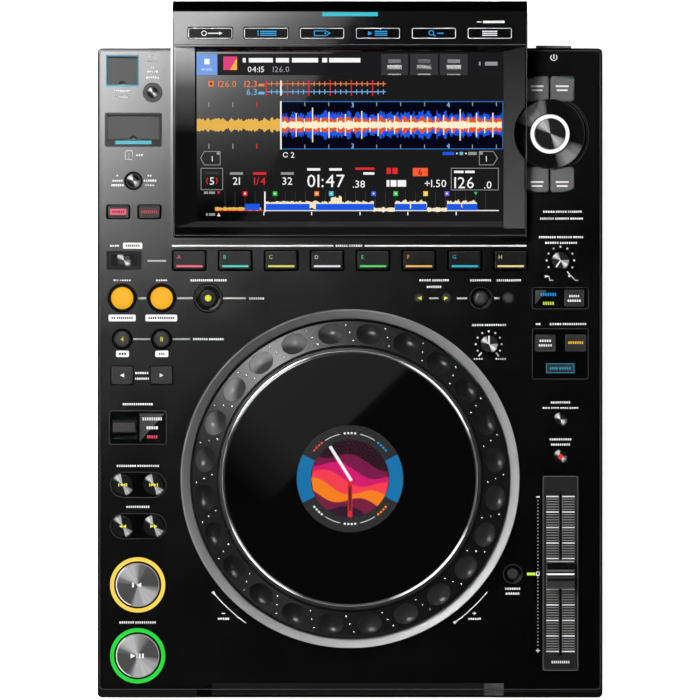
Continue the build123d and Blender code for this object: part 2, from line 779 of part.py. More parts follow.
well_specs = [                 # centre, cover size, slot size and slot depth
    (usb_x, row_usb, usb_cover_width, usb_cover_length, usb_slot_width, usb_slot_length, usb_slot_depth),
    (sd_x, sd_cover_y, sd_cover_width, sd_cover_length, sd_slot_width, sd_slot_length, sd_slot_depth),
]
with BuildPart() as media_sockets:
    for x, y, width, length, slot_width, slot_length, slot_depth in well_specs:
        with BuildSketch(Plane.XY.offset(well_floor_z)):
            with Locations((x, y)):
                Rectangle(width + 2 * well_wall, length + 2 * well_wall)
                Rectangle(width, length, mode=Mode.SUBTRACT)
        extrude(amount=deck_under_z - well_floor_z)
        # stop that the closed cover rests over
        with Locations((x, y - length / 2, well_floor_z)):
            Box(
                cover_stop_width,
                cover_stop_length,
                cover_low_z - stop_gap - well_floor_z,
                align=(Align.CENTER, Align.MIN, Align.MIN),
            )
        with BuildSketch(Plane.XY.offset(well_floor_z)):
            with Locations((x, y)):
                Rectangle(width + 2 * well_wall, length + 2 * well_wall)
        extrude(amount=-well_wall)
        with BuildSketch(Plane.XY.offset(well_floor_z)):
            with Locations((x, y)):
                Rectangle(slot_width + 2 * jack_wall, slot_length + 2 * jack_wall)
        extrude(amount=-slot_depth - jack_wall)
        with BuildSketch(Plane.XY.offset(well_floor_z)):
            with Locations((x, y)):
                Rectangle(slot_width, slot_length)
        extrude(amount=-slot_depth, mode=Mode.SUBTRACT)
write(media_sockets.part, "media_sockets")

# ---------------------------------------------------------------- rear panel with its jacks
panel_outer_y = rear_y - 0.5
panel_inner_y = panel_outer_y - rear_panel_thickness
rear_plane = Plane(origin=(0, panel_outer_y, 0), x_dir=(-1, 0, 0), z_dir=(0, 1, 0))
inner_plane = Plane(origin=(0, panel_inner_y, 0), x_dir=(-1, 0, 0), z_dir=(0, 1, 0))
phono_spots = [(-(phono_x + i * phono_pitch), phono_z) for i in range(phono_count)]
square_jacks = [(lan_x, lan_width, lan_height), (usb_b_x, usb_b_width, usb_b_height)]
phono_neck = phono_radius + 0.85
phono_flange = phono_radius + 1.6
jack_board_z = jack_z - lan_height / 2 - jack_wall - board_thickness / 2
jack_plate_margin = 3.0
jack_plate_left = lan_x - lan_width / 2 - jack_wall - jack_plate_margin
jack_plate_right = usb_b_x + usb_b_width / 2 + jack_wall + jack_plate_margin
jack_plate_width = jack_plate_right - jack_plate_left
jack_plate_height = max(lan_height, usb_b_height) + 2 * (jack_wall + jack_plate_margin)
plate_x = (jack_plate_left + jack_plate_right) / 2

with BuildPart() as rear_panel:
    with BuildSketch(rear_plane):
        with Locations((0, (rear_panel_low_z + rear_panel_high_z) / 2)):
            Rectangle(rear_panel_width, rear_panel_high_z - rear_panel_low_z)
    extrude(amount=-rear_panel_thickness)
    with BuildSketch(rear_plane):
        with Locations((-power_x, power_z)):
            RectangleRounded(power_width + 5, power_height + 5, 1.5)
    extrude(amount=power_guard)
    with BuildSketch(rear_plane):
        with Locations((-power_x, power_z)):
            RectangleRounded(power_width + 2 * key_gap, power_height + 2 * key_gap, 1)
        with Locations((-inlet_x, inlet_z)):
            Rectangle(inlet_cavity_width + 2 * jack_wall + 2 * seat_gap, inlet_cavity_height + 2 * jack_wall + 2 * seat_gap)
        with Locations((-plate_x, jack_z)):
            Rectangle(jack_plate_width + 2 * seat_gap, jack_plate_height + 2 * seat_gap)
        with Locations(*phono_spots):
            Circle(phono_neck + seat_gap)
    extrude(amount=power_guard, both=True, mode=Mode.SUBTRACT)
    # data jacks sit in a small plate of their own
    with BuildSketch(rear_plane):
        with Locations((-plate_x, jack_z)):
            Rectangle(jack_plate_width, jack_plate_height)
        for x, width, height in square_jacks:
            with Locations((-x, jack_z)):
                Rectangle(width + 2 * jack_wall + 2 * seat_gap, height + 2 * jack_wall + 2 * seat_gap, mode=Mode.SUBTRACT)
    extrude(amount=-rear_panel_thickness)
write(rear_panel.part, "rear_panel")

with BuildPart() as rear_jacks:
    with BuildSketch(inner_plane):
        with Locations(*phono_spots):
            Rectangle(2 * phono_flange, 2 * phono_flange)
    extrude(amount=-jack_depth)
    with BuildSketch(inner_plane):
        with Locations(*phono_spots):
            Circle(phono_neck)
    extrude(amount=rear_panel_thickness)
    with BuildSketch(rear_plane):
        with Locations(*phono_spots):
            Circle(phono_radius)
    extrude(amount=phono_reach)
    chamfer(rear_jacks.edges().group_by(Axis.Y)[-1], 0.5)
    with BuildSketch(rear_plane.offset(phono_reach)):
        with Locations(*phono_spots):
            Circle(phono_bore)
    extrude(amount=-phono_reach - jack_depth / 2, mode=Mode.SUBTRACT)
    for x, width, height in square_jacks:
        with BuildSketch(rear_plane):
            with Locations((-x, jack_z)):
                Rectangle(width + 2 * jack_wall, height + 2 * jack_wall)
        extrude(amount=-jack_depth - jack_wall)
        with BuildSketch(rear_plane):
            with Locations((-x, jack_z)):
                Rectangle(width, height)
        extrude(amount=-jack_depth, mode=Mode.SUBTRACT)
    # board that carries the jacks
    jack_left = phono_x - phono_flange
    jack_right = usb_b_x + usb_b_width / 2 + jack_wall
    with Locations(((jack_left + jack_right) / 2, panel_inner_y, jack_board_z)):
        Box(
            jack_right - jack_left + 2 * jack_wall,
            jack_depth + 2 * jack_wall,
            board_thickness,
            align=(Align.CENTER, Align.MAX, Align.MIN),
        )
write(rear_jacks.part, "rear_jacks")

with BuildPart() as mains_inlet:
    with BuildSketch(rear_plane):
        with Locations((-inlet_x, inlet_z)):
            RectangleRounded(inlet_width, inlet_height, 1.5)
    extrude(amount=inlet_flange)
    with BuildSketch(rear_plane):
        with Locations((-inlet_x, inlet_z)):
            Rectangle(inlet_cavity_width + 2 * jack_wall, inlet_cavity_height + 2 * jack_wall)
    extrude(amount=-inlet_depth)
    with BuildSketch(rear_plane.offset(inlet_flange)):
        with Locations((-inlet_x, inlet_z)):
            RectangleRounded(inlet_cavity_width, inlet_cavity_height, 1)
    extrude(amount=-inlet_cavity_depth, mode=Mode.SUBTRACT)
    with BuildSketch(rear_plane.offset(inlet_flange - inlet_cavity_depth)):
        with Locations((-inlet_x, inlet_z + pin_drop / 2)):
            Rectangle(pin_width, pin_height)
        with Locations(*[(-inlet_x + side * pin_pitch / 2, inlet_z - pin_drop / 2) for side in (-1, 1)]):
            Rectangle(pin_width, pin_height)
    extrude(amount=pin_length)
write(mains_inlet.part, "mains_inlet")

with BuildPart() as power_button:
    with BuildSketch(rear_plane.offset(power_proud)):
        with Locations((-power_x, power_z)):
            RectangleRounded(power_width, power_height, 1)
    extrude(amount=-power_proud - rear_panel_thickness - stop_gap)
    fillet(power_button.edges().group_by(Axis.Y)[-1], 0.6)
    with BuildSketch(inner_plane.offset(-stop_gap)):
        with Locations((-power_x, power_z)):
            Rectangle(power_width + 3, power_height + 3)
    extrude(amount=-2)
write(power_button.part, "power_button")

# ---------------------------------------------------------------- main board and power supply
board_size = (160.0, 96.0)
main_board_x = sum(x for x, _ in main_board_spots) / 4
main_board_y = sum(y for _, y in main_board_spots) / 4
supply_size = (108.0, 86.0)
with BuildPart() as main_board:
    with BuildSketch(Plane.XY.offset(main_board_z)):
        with Locations((main_board_x, main_board_y)):
            Rectangle(*board_size)
    extrude(amount=board_thickness)
    board_face = main_board_z + board_thickness
    for dx, dy, width, length, height in (
        (-35, 8, 27, 27, 8.0),         # processor under its heat sink
        (20, 8, 14, 14, 1.6),
        (-5, -22, 12, 8, 1.4),
        (-5, 26, 12, 8, 1.4),
        (-62, -20, 10, 7, 6.0),
        (50, -25, 22, 5, 7.0),
        (50, 25, 22, 5, 7.0),
    ):
        with Locations((main_board_x + dx, main_board_y + dy, board_face)):
            Box(width, length, height, align=(Align.CENTER, Align.CENTER, Align.MIN))
write(main_board.part, "main_board")

with BuildPart() as power_supply:
    with BuildSketch(Plane.XY.offset(main_board_z)):
        with Locations((sum(x for x, _ in supply_spots) / 4, sum(y for _, y in supply_spots) / 4)):
            Rectangle(*supply_size)
    extrude(amount=board_thickness)
    with Locations((80, rear_y - 85, board_face)):
        Box(32, 28, 24, align=(Align.CENTER, Align.CENTER, Align.MIN))
    for x, y, radius, height in ((118, 70, 9, 25), (118, 95, 8, 20), (56, 60, 5, 14), (56, 100, 5, 14)):
        with Locations((x, rear_y - y, board_face)):
            Cylinder(radius, height, align=(Align.CENTER, Align.CENTER, Align.MIN))
write(power_supply.part, "power_supply")

# ---------------------------------------------------------------- jog wheel
jog_top_z = deck_z + jog_height
hub_bottom_z = jog_web_z + jog_web_thickness - hub_length
trim_top_z = jog_top_z + trim_height
plate_radius = trim_inner - seat_gap
display_top_z = deck_z + jog_height - jog_top_skin + 0.5
plate_top_z = trim_top_z - 0.2

jog_axis = Axis((0, jog_y, 0), (0, 0, 1))
jog_section = Plane(origin=(0, jog_y, 0), x_dir=(1, 0, 0), z_dir=(0, -1, 0))
with BuildPart() as jog_ring:
    with BuildSketch(jog_section):
        with BuildLine():
            Polyline(
                (jog_ring_inner, deck_under_z),
                (seat_radius - seat_gap, deck_under_z),
                (seat_radius - seat_gap, deck_z),
                (jog_ring_outer, deck_z),
                (jog_ring_outer, deck_z + jog_ring_height - jog_ring_edge),
                (jog_ring_outer - jog_ring_edge, deck_z + jog_ring_height),
                (jog_ring_inner + jog_ring_edge, deck_z + jog_ring_height - jog_ring_fall),
                (jog_ring_inner, deck_z + jog_ring_height - jog_ring_fall - jog_ring_edge),
                close=True,
            )
        make_face()
    revolve(axis=jog_axis)
write(jog_ring.part, "jog_surround_ring")

with BuildPart() as jog_post:
    with BuildSketch(Plane.XY.offset(floor_top_z)):
        with Locations((0, jog_y)):
            Circle(post_flange_radius)
    extrude(amount=post_flange_thickness)
    with BuildSketch(Plane.XY.offset(floor_top_z)):
        with Locations((0, jog_y)):
            Circle(shoulder_radius)
    extrude(amount=hub_bottom_z - stop_gap - floor_top_z)
    with BuildSketch(Plane.XY.offset(floor_top_z)):
        with Locations((0, jog_y)):
            Circle(post_radius)
    extrude(amount=display_top_z - display_thickness - floor_top_z)
    with BuildSketch(Plane.XY.offset(floor_top_z)):
        with Locations((0, jog_y)):
            Circle(post_bore)
            with PolarLocations((post_flange_radius + shoulder_radius) / 2, 4, 45):
                Circle(screw_radius)
    extrude(amount=display_top_z - display_thickness - floor_top_z, mode=Mode.SUBTRACT)
write(jog_post.part, "jog_bearing_post")

with BuildPart() as jog_display:
    with BuildSketch(Plane.XY.offset(display_top_z - display_thickness)):
        with Locations((0, jog_y)):
            Circle(display_radius)
    extrude(amount=display_thickness)
    chamfer(jog_display.edges().group_by(Axis.Z)[-1], 0.4)
write(jog_display.part, "jog_display")

plate_z = plate_top_z - top_plate_thickness
web_top_z = jog_web_z + jog_web_thickness
wall_inner = jog_rim_inner - jog_rim_wall
channel_top_z = jog_top_z - jog_top_skin
dimple_sphere = (dimple_radius ** 2 + dimple_depth ** 2) / (2 * dimple_depth)
dimple_turn = 360 / dimple_count
with BuildPart() as dimple_cutter:
    Sphere(dimple_sphere)
    scale(by=(dimple_reach / dimple_radius, 1, 1))
with BuildPart() as jog_platter:
    with BuildSketch(jog_section):
        with BuildLine():
            Polyline(
                (post_radius + run_gap, hub_bottom_z),
                (hub_radius, hub_bottom_z),
                (hub_radius, jog_web_z),
                (jog_rim_inner, jog_web_z),
                (jog_rim_inner, channel_top_z),
                (jog_radius - jog_rim_wall, channel_top_z),
                (jog_radius - jog_rim_wall, web_top_z),
                (jog_radius, web_top_z),
                (jog_radius, jog_top_z - 0.8),
                (jog_radius - 0.8, jog_top_z),
                (jog_rim_inner, jog_top_z),
                (jog_rim_inner, jog_top_z - trim_sink),
                (trim_inner, jog_top_z - trim_sink),
                (trim_inner, plate_z),
                (shelf_inner, plate_z),
                (shelf_inner, plate_z - jog_rim_wall),
                (wall_inner, plate_z - jog_rim_wall),
                (wall_inner, web_top_z),
                (post_radius + run_gap, web_top_z),
                close=True,
            )
        make_face()
    revolve(axis=jog_axis)
    with Locations((0, jog_y, jog_top_z + dimple_sphere - dimple_depth)):
        with PolarLocations(dimple_circle, dimple_count, dimple_turn / 2):
            add(dimple_cutter.part, mode=Mode.SUBTRACT)
    with BuildSketch(Plane.XY.offset(jog_top_z)):
        with Locations((0, jog_y)):
            for i in (-1, 0, 1):
                with PolarLocations(dimple_circle + i * dot_pitch, dimple_count, i * dot_slant):
                    Circle(dot_radius)
    extrude(amount=-dot_depth, mode=Mode.SUBTRACT)
    # lightening holes in the web
    with BuildSketch(Plane.XY.offset(web_top_z)):
        with Locations((0, jog_y)):
            with PolarLocations((hub_radius + encoder_inner) / 2, 6):
                Circle(9)
    extrude(amount=-jog_web_thickness, mode=Mode.SUBTRACT)
write(jog_platter.part, "jog_platter")

with BuildPart() as encoder:
    with BuildSketch(Plane.XY.offset(encoder_z)):
        with Locations((0, jog_y)):
            Circle(encoder_outer)
            Circle(encoder_inner, mode=Mode.SUBTRACT)
            with PolarLocations(sensor_radius, encoder_slots):
                Rectangle(encoder_outer - encoder_inner - 6, 2.4, mode=Mode.SUBTRACT)
    extrude(amount=encoder_thickness)
write(encoder.part, "jog_encoder_disc")

trim_outer = jog_rim_inner - seat_gap
with BuildPart() as trim_ring:
    with BuildSketch(jog_section):
        with BuildLine():
            Polyline(
                (trim_inner, jog_top_z - trim_sink),
                (trim_outer, jog_top_z - trim_sink),
                (trim_outer, jog_top_z + 0.4),
                (trim_outer - 1.6, trim_top_z),
                (trim_inner + 0.9, trim_top_z),
                (trim_inner, trim_top_z - 0.7),
                close=True,
            )
        make_face()
    revolve(axis=jog_axis)
write(trim_ring.part, "jog_trim_ring")

with BuildPart() as top_plate:
    with BuildSketch(Plane.XY.offset(plate_z)):
        with Locations((0, jog_y)):
            Circle(plate_radius)
    extrude(amount=top_plate_thickness)
    chamfer(top_plate.edges().group_by(Axis.Z)[-1], 0.5)
write(top_plate.part, "jog_top_plate")

# ---------------------------------------------------------------- screen hood


def slope_point(v, w):
    """Y and Z of the point that lies v up the hood's slope from the screen's centre, and w above it."""
    turn = math.radians(hood_tilt)
    return (
        screen_centre_y + v * math.cos(turn) - w * math.sin(turn),
        screen_centre_z + v * math.sin(turn) + w * math.cos(turn),
    )


def slope_z(y):
    """Height of the hood's sloping top at a Y."""
    return screen_centre_z + (y - screen_centre_y) * hood_slope


hood_rear_low_z = overall_height - hood_rear_drop
under_run = (hood_rear_y - rear_y) / (hood_rear_low_z - deck_z)
below = 2 * hood_wall
hood_outline = [
    (hood_front_y, deck_z),
    (hood_front_y, slope_z(hood_front_y)),
    (hood_top_y, overall_height),
    (hood_rear_y, hood_rear_low_z),
    (rear_y, deck_z),
]
hollow_outline = [
    (hood_front_y, deck_z - below),
    *hood_outline[1:4],
    (rear_y - below * under_run, deck_z - below),
]
strip_v = recess_length / 2 + recess_shift + hood_wall
roof_outline = [
    slope_point(-recess_length, 0),
    slope_point(-recess_length, -hood_roof),
    slope_point(strip_v, -hood_roof),
    slope_point(strip_v, -strip_roof),
    slope_point(recess_length, -strip_roof),
    slope_point(recess_length, 0),
]
pod_width = 2 * (browse_x + browse_width / 2 + pod_gap)
pod_length = 2 * (browse_reach_far + browse_bow + pod_gap)
pod_radius = selector_disc_diameter / 2 + pod_gap


def pod_outline(margin):
    """Adds the outline of the browse keys and the selector's disc, grown by the margin, to the open sketch."""
    with Locations((browse_centre_x, row_selector)):
        RectangleRounded(pod_width + 2 * margin, pod_length + 2 * margin, 4 + margin)
    with Locations((selector_x, row_selector)):
        Circle(pod_radius + margin)


with BuildPart() as hood_block:
    with BuildSketch(Plane.YZ.offset(-hood_width / 2)):
        with BuildLine():
            Polyline(*hood_outline, close=True)
        make_face()
    extrude(amount=hood_width)
    fillet(hood_block.edges().filter_by(Axis.X).group_by(Axis.Z)[-1], 1.0)
    fillet(hood_block.edges().filter_by(Axis.Z).group_by(Axis.Y)[0], 1.5)

# wall of the notch that the hood's side leaves for the selector
with BuildPart() as pod_wall:
    with BuildSketch(Plane.XY.offset(deck_z)):
        pod_outline(hood_wall)
    extrude(amount=overall_height - deck_z)
    add(hood_block.part, mode=Mode.INTERSECT)

with BuildPart() as hood:
    add(hood_block.part)
    with BuildSketch(Plane.YZ.offset(-hood_width / 2 + hood_wall)):
        with BuildLine():
            Polyline(*hollow_outline, close=True)
        make_face()
        offset(amount=-hood_wall, kind=Kind.INTERSECTION)
        with BuildLine():
            Polyline(*roof_outline, close=True)
        make_face(mode=Mode.SUBTRACT)
    extrude(amount=hood_width - 2 * hood_wall, mode=Mode.SUBTRACT)
    add(pod_wall.part)
    # plinth on the deck
    with BuildSketch(Plane.XY.offset(deck_z)):
        with Locations((0, (hood_front_y - plinth_margin + rear_y) / 2)):
            Rectangle(hood_width + 2 * plinth_margin, rear_y - hood_front_y + plinth_margin)
        with Locations((0, (hood_front_y + hood_wall + hood_rear_foot_y) / 2)):
            Rectangle(hood_width - 2 * hood_wall, hood_rear_foot_y - hood_front_y - hood_wall, mode=Mode.SUBTRACT)
    extrude(amount=plinth_height)
    with BuildSketch(Plane.XY.offset(deck_z)):
        pod_outline(0)
    extrude(amount=overall_height - deck_z, mode=Mode.SUBTRACT)
    # recess, glass seat and window
    with BuildSketch(hood_plane):
        with Locations((0, recess_shift)):
            Rectangle(recess_width, recess_length)
    with BuildSketch(hood_plane.offset(-screen_depth)):
        Rectangle(screen_width, screen_length)
    loft(mode=Mode.SUBTRACT)
    with BuildSketch(hood_plane.offset(-screen_depth)):
        Rectangle(screen_width + 2 * seat_gap, screen_length + 2 * seat_gap)
    extrude(amount=-glass_thickness, mode=Mode.SUBTRACT)
    with BuildSketch(hood_plane.offset(-screen_depth)):
        Rectangle(screen_width - 2 * glass_lip, screen_length - 2 * glass_lip)
    extrude(amount=-hood_roof, mode=Mode.SUBTRACT)
    # key holes, posts of the key board, and the slot of the light bar
    with BuildSketch(hood_plane):
        with Locations(*[(x, menu_offset) for x in menu_x]):
            RectangleRounded(menu_width + 2 * key_gap, menu_length + 2 * key_gap, 1 + key_gap)
        with Locations((0, light_bar_offset)):
            Rectangle(light_bar_width + 2 * seat_gap, light_bar_length + 2 * seat_gap)
    extrude(amount=-strip_roof, mode=Mode.SUBTRACT)
    with BuildSketch(hood_plane.offset(-strip_roof)):
        with Locations(*[(i * 2 * menu_pitch, menu_offset) for i in (-1, 0, 1)]):
            Circle(menu_post_radius)
    extrude(amount=strip_roof - menu_board_drop)
write(hood.part, "screen_housing")

with BuildPart() as glass:
    with BuildSketch(hood_plane.offset(-screen_depth)):
        Rectangle(screen_width, screen_length)
    extrude(amount=-glass_thickness)
write(glass.part, "screen_glass")

with BuildPart() as lcd:
    with BuildSketch(hood_plane.offset(-screen_depth - glass_thickness)):
        Rectangle(screen_width - 2 * glass_lip - 2 * seat_gap, screen_length - 2 * glass_lip - 2 * seat_gap)
    extrude(amount=-lcd_thickness)
write(lcd.part, "lcd_module")

menu_rim_top = -strip_roof - stop_gap
menu_stem_foot = switch_height + key_travel + stop_gap - menu_board_drop
menu_spots = [(x, menu_offset) for x in menu_x]
with BuildPart() as menu_keys:
    with BuildSketch(hood_plane.offset(menu_proud)):
        with Locations(*menu_spots):
            RectangleRounded(menu_width, menu_length, 1)
    extrude(amount=menu_rim_top - menu_proud)
    with BuildSketch(hood_plane.offset(menu_rim_top)):
        with Locations(*menu_spots):
            Rectangle(menu_width + 2 * flange_width, menu_length + 2 * flange_width)
    extrude(amount=-flange_thickness)
    with BuildSketch(hood_plane.offset(menu_rim_top - flange_thickness)):
        with Locations(*menu_spots):
            Circle(stem_radius)
    extrude(amount=menu_stem_foot - menu_rim_top + flange_thickness)
write(menu_keys.part, "menu_keys")

# ---------------------------------------------------------------- tempo fader and direction lever
fader_unit_width = 16.0
fader_unit_length = 128.0
fader_floor = 3.0
stem_foot_z = board_top_z + fader_floor + 2.0
slider_z = deck_z + plate_thickness + stop_gap
with BuildPart() as fader_unit:
    with BuildSketch(Plane.XY.offset(board_top_z)):
        with Locations((right_column, row_fader)):
            Rectangle(fader_unit_width, fader_unit_length)
    extrude(amount=deck_under_z - board_top_z)
    with BuildSketch(Plane.XY.offset(deck_under_z)):
        with Locations((right_column, row_fader)):
            Rectangle(fader_slot_width, fader_slot_length)
    extrude(amount=board_top_z + fader_floor - deck_under_z, mode=Mode.SUBTRACT)
write(fader_unit.part, "fader_unit")

with BuildPart() as slider:
    half = fader_cap_length / 2
    with BuildSketch(Plane.YZ.offset(right_column - fader_cap_width / 2)):
        with BuildLine():
            Polyline(
                (row_fader - half, slider_z),
                (row_fader - half, slider_z + 0.55 * fader_cap_height),
                (row_fader - 0.72 * half, slider_z + fader_cap_height),
                (row_fader - 0.12 * half, slider_z + 0.8 * fader_cap_height),
                (row_fader + 0.12 * half, slider_z + 0.8 * fader_cap_height),
                (row_fader + 0.72 * half, slider_z + fader_cap_height),
                (row_fader + half, slider_z + 0.55 * fader_cap_height),
                (row_fader + half, slider_z),
                close=True,
            )
        make_face()
    extrude(amount=fader_cap_width)
    with BuildSketch(Plane.XY.offset(stem_foot_z)):
        with Locations((right_column, row_fader)):
            Rectangle(fader_stem_width, fader_stem_length)
    extrude(amount=slider_z - stem_foot_z)
write(slider.part, "tempo_slider")

lever_side = lever_width / 2
lever_top_z = deck_z + lever_height
with BuildPart() as lever:
    with BuildSketch(Plane.YZ.offset(lever_x - lever_side)):
        with Locations((row_direction, lever_axis_z)):
            Circle(lever_drum_radius)
        with Locations((row_direction, (lever_axis_z + lever_top_z) / 2)):
            Rectangle(lever_length, lever_top_z - lever_axis_z)
    extrude(amount=lever_width)
    fillet(lever.edges().group_by(Axis.Z)[-1], 0.8)
    with Locations((lever_x, row_direction, lever_axis_z)):
        Cylinder(lever_pin_radius, lever_width + 2 * lever_pin_length, rotation=(0, 90, 0))
write(lever.part, "direction_lever")

# ---------------------------------------------------------------- knobs
knob_z = deck_z + 0.8
knob_top_z = knob_z + knob_height


def small_knob(x, y):
    """A turned knob on its own shaft, with a pointer groove that looks to the rear."""
    with BuildPart() as knob:
        with BuildSketch(Plane.XY.offset(knob_z)):
            with Locations((x, y)):
                Circle(knob_diameter / 2)
        extrude(amount=knob_height, taper=3)
        fillet(knob.edges().group_by(Axis.Z)[-1], 0.7)
        with Locations((x, y + knob_diameter / 4, knob_top_z)):
            Box(0.9, knob_diameter / 2, 0.8, mode=Mode.SUBTRACT)
        with BuildSketch(Plane.XY.offset(knob_shaft_foot)):
            with Locations((x, y)):
                Circle(knob_shaft_radius)
        extrude(amount=knob_z - knob_shaft_foot)
    return knob.part


write(small_knob(right_column, row_speed), "speed_knob")
write(small_knob(jog_adjust_x, row_jog_adjust), "jog_adjust_knob")

disc_top_z = deck_z + selector_disc_height
selector_foot_z = knob_shaft_foot + selector_travel
selector_knob_z = disc_top_z + light_proud + selector_travel + stop_gap
selector_bore_depth = 10.0
knurl_count = 36
knurl_depth = 0.5
with BuildPart() as selector_shaft:
    with BuildSketch(Plane.XY.offset(selector_foot_z)):
        with Locations((selector_x, row_selector)):
            Circle(knob_shaft_radius)
    extrude(amount=selector_knob_z + selector_bore_depth - stop_gap - selector_foot_z)
write(selector_shaft.part, "selector_shaft")

with BuildPart() as selector_knob:
    with BuildSketch(Plane.XY.offset(selector_knob_z)):
        with Locations((selector_x, row_selector)):
            Circle(selector_knob_diameter / 2)
    extrude(amount=selector_knob_height)
    chamfer(selector_knob.edges().group_by(Axis.Z)[-1], 0.8)
    with BuildSketch(Plane.XY.offset(selector_knob_z)):
        with Locations((selector_x, row_selector)):
            Circle(knob_shaft_radius + run_gap)
    extrude(amount=selector_bore_depth, mode=Mode.SUBTRACT)
    with BuildSketch(Plane.XY.offset(selector_knob_z + 1.5)):
        with Locations((selector_x, row_selector)):
            with PolarLocations(selector_knob_diameter / 2, knurl_count):
                Rectangle(2 * knurl_depth, 0.8)
    extrude(amount=selector_knob_height - 3.0, mode=Mode.SUBTRACT)
write(selector_knob.part, "selector_knob")

# ---------------------------------------------------------------- trim rings, frames and plates on the deck
ring_specs = [                 # centre, outer diameter, diameter of the key inside
    (column_a, row_loop, 17.8, loop_key_diameter),
    (column_b, row_loop, 17.8, loop_key_diameter),
    (column_b + 30.3, row_loop, 17.3, reloop_key_diameter),
    (usb_stop_x, row_usb - 14.2, 13.0, usb_stop_diameter),
    (memory_x[2], row_loop, 14.6, delete_key_diameter),
    (reset_x, row_fader, 12.7, reset_key_diameter),
]
pill_centre_x = sum(x for x, _ in search_spots[:2]) / 2
pill_width, pill_length = 37.0, 17.0
call_frame_width, call_frame_length = 23.3, 12.9
sd_frame_width, sd_frame_length = 37.3, 22.3
mode_frame_width, mode_frame_length = 36.9, 14.1
sync_frame_width, sync_frame_length = 36.8, 33.2
sync_frame_y = row_sync - 7.1
light_drop = 8.3               # teal bar to the front of the SD frame's centre
sd_light_width, sd_light_length = 23.5, 2.2
direction_window_width, direction_window_length = 16.6, 18.6
direction_window_x = direction_x + direction_width / 2 - direction_window_width / 2 - 1.2
mode_window_width, mode_window_length = 19.0, 11.6
mode_window_x = mode_centre_x - mode_frame_width / 2 + mode_window_width / 2 + 1.2
fader_plate_y = row_fader + fader_plate_shift

with BuildPart() as bezels:
    with BuildSketch(Plane.XY.offset(deck_z)):
        for x, y, outer, inner in ring_specs:
            with Locations((x, y)):
                Circle(outer / 2)
        with Locations(*[(pill_centre_x, y) for y in (row_track, row_search)]):
            SlotOverall(pill_width, pill_length)
        with Locations((column_a + 1.2, row_hot)):
            RectangleRounded(call_frame_width, call_frame_length, 1.5)
        with Locations((sd_x, row_sd)):
            RectangleRounded(sd_frame_width, sd_frame_length, 1.5)
        with Locations((mode_centre_x, row_mode)):
            RectangleRounded(mode_frame_width, mode_frame_length, 1.5)
        with Locations((mode_centre_x, sync_frame_y)):
            RectangleRounded(sync_frame_width, sync_frame_length, 1.5)
        with Locations((direction_x, row_direction)):
            RectangleRounded(direction_width, direction_length, 2)
        with Locations((lever_x, row_direction)):
            Rectangle(lever_width + 1.4, lever_slot_length, mode=Mode.SUBTRACT)
        with Locations((direction_window_x, row_direction)):
            Rectangle(direction_window_width, direction_window_length, mode=Mode.SUBTRACT)
        with Locations((mode_window_x, row_mode)):
            Rectangle(mode_window_width, mode_window_length, mode=Mode.SUBTRACT)
        with Locations((sd_x, row_sd + sd_cover_shift)):
            Rectangle(sd_cover_width, sd_cover_length, mode=Mode.SUBTRACT)
        with Locations((sd_x, row_sd - light_drop)):
            Rectangle(sd_light_width + 2 * seat_gap, sd_light_length + 2 * seat_gap, mode=Mode.SUBTRACT)
    extrude(amount=bezel_height)
    for sets in key_sets.values():
        for keys in sets:
            with BuildSketch(Plane.XY.offset(deck_z)):
                with Locations(*keys.spots):
                    keys.shape.draw(key_gap)
            extrude(amount=bezel_height, mode=Mode.SUBTRACT)
    # disc round the selector, with the groove of its light ring
    with BuildSketch(Plane.XY.offset(deck_z)):
        with Locations((selector_x, row_selector)):
            Circle(selector_disc_diameter / 2)
            Circle(selector_bore, mode=Mode.SUBTRACT)
    extrude(amount=selector_disc_height)
    with BuildSketch(Plane.XY.offset(disc_top_z)):
        with Locations((selector_x, row_selector)):
            Circle(selector_light_outer / 2 + seat_gap)
            Circle(selector_light_inner / 2 - seat_gap, mode=Mode.SUBTRACT)
    extrude(amount=-selector_groove, mode=Mode.SUBTRACT)
write(bezels.part, "button_bezels")

with BuildPart() as plates:
    with BuildSketch(Plane.XY.offset(deck_z)):
        with Locations((right_column, fader_plate_y)):
            Rectangle(fader_plate_width, fader_plate_length)
        with Locations((right_column, row_fader)):
            Rectangle(fader_slot_width, fader_slot_length, mode=Mode.SUBTRACT)
        with Locations((direction_window_x, row_direction)):
            Rectangle(direction_window_width - 2 * seat_gap, direction_window_length - 2 * seat_gap)
        with Locations((mode_window_x, row_mode)):
            Rectangle(mode_window_width - 2 * seat_gap, mode_window_length - 2 * seat_gap)
    extrude(amount=plate_thickness)
write(plates.part, "legend_plates")

with BuildPart() as transport_rings:
    with BuildSketch(Plane.XY.offset(deck_z)):
        with Locations((cue_x, row_cue), (cue_x, row_play)):
            Circle(transport_ring_outer / 2)
            Circle(transport_ring_inner / 2, mode=Mode.SUBTRACT)
    extrude(amount=transport_ring_height)
write(transport_rings.part, "transport_light_rings")

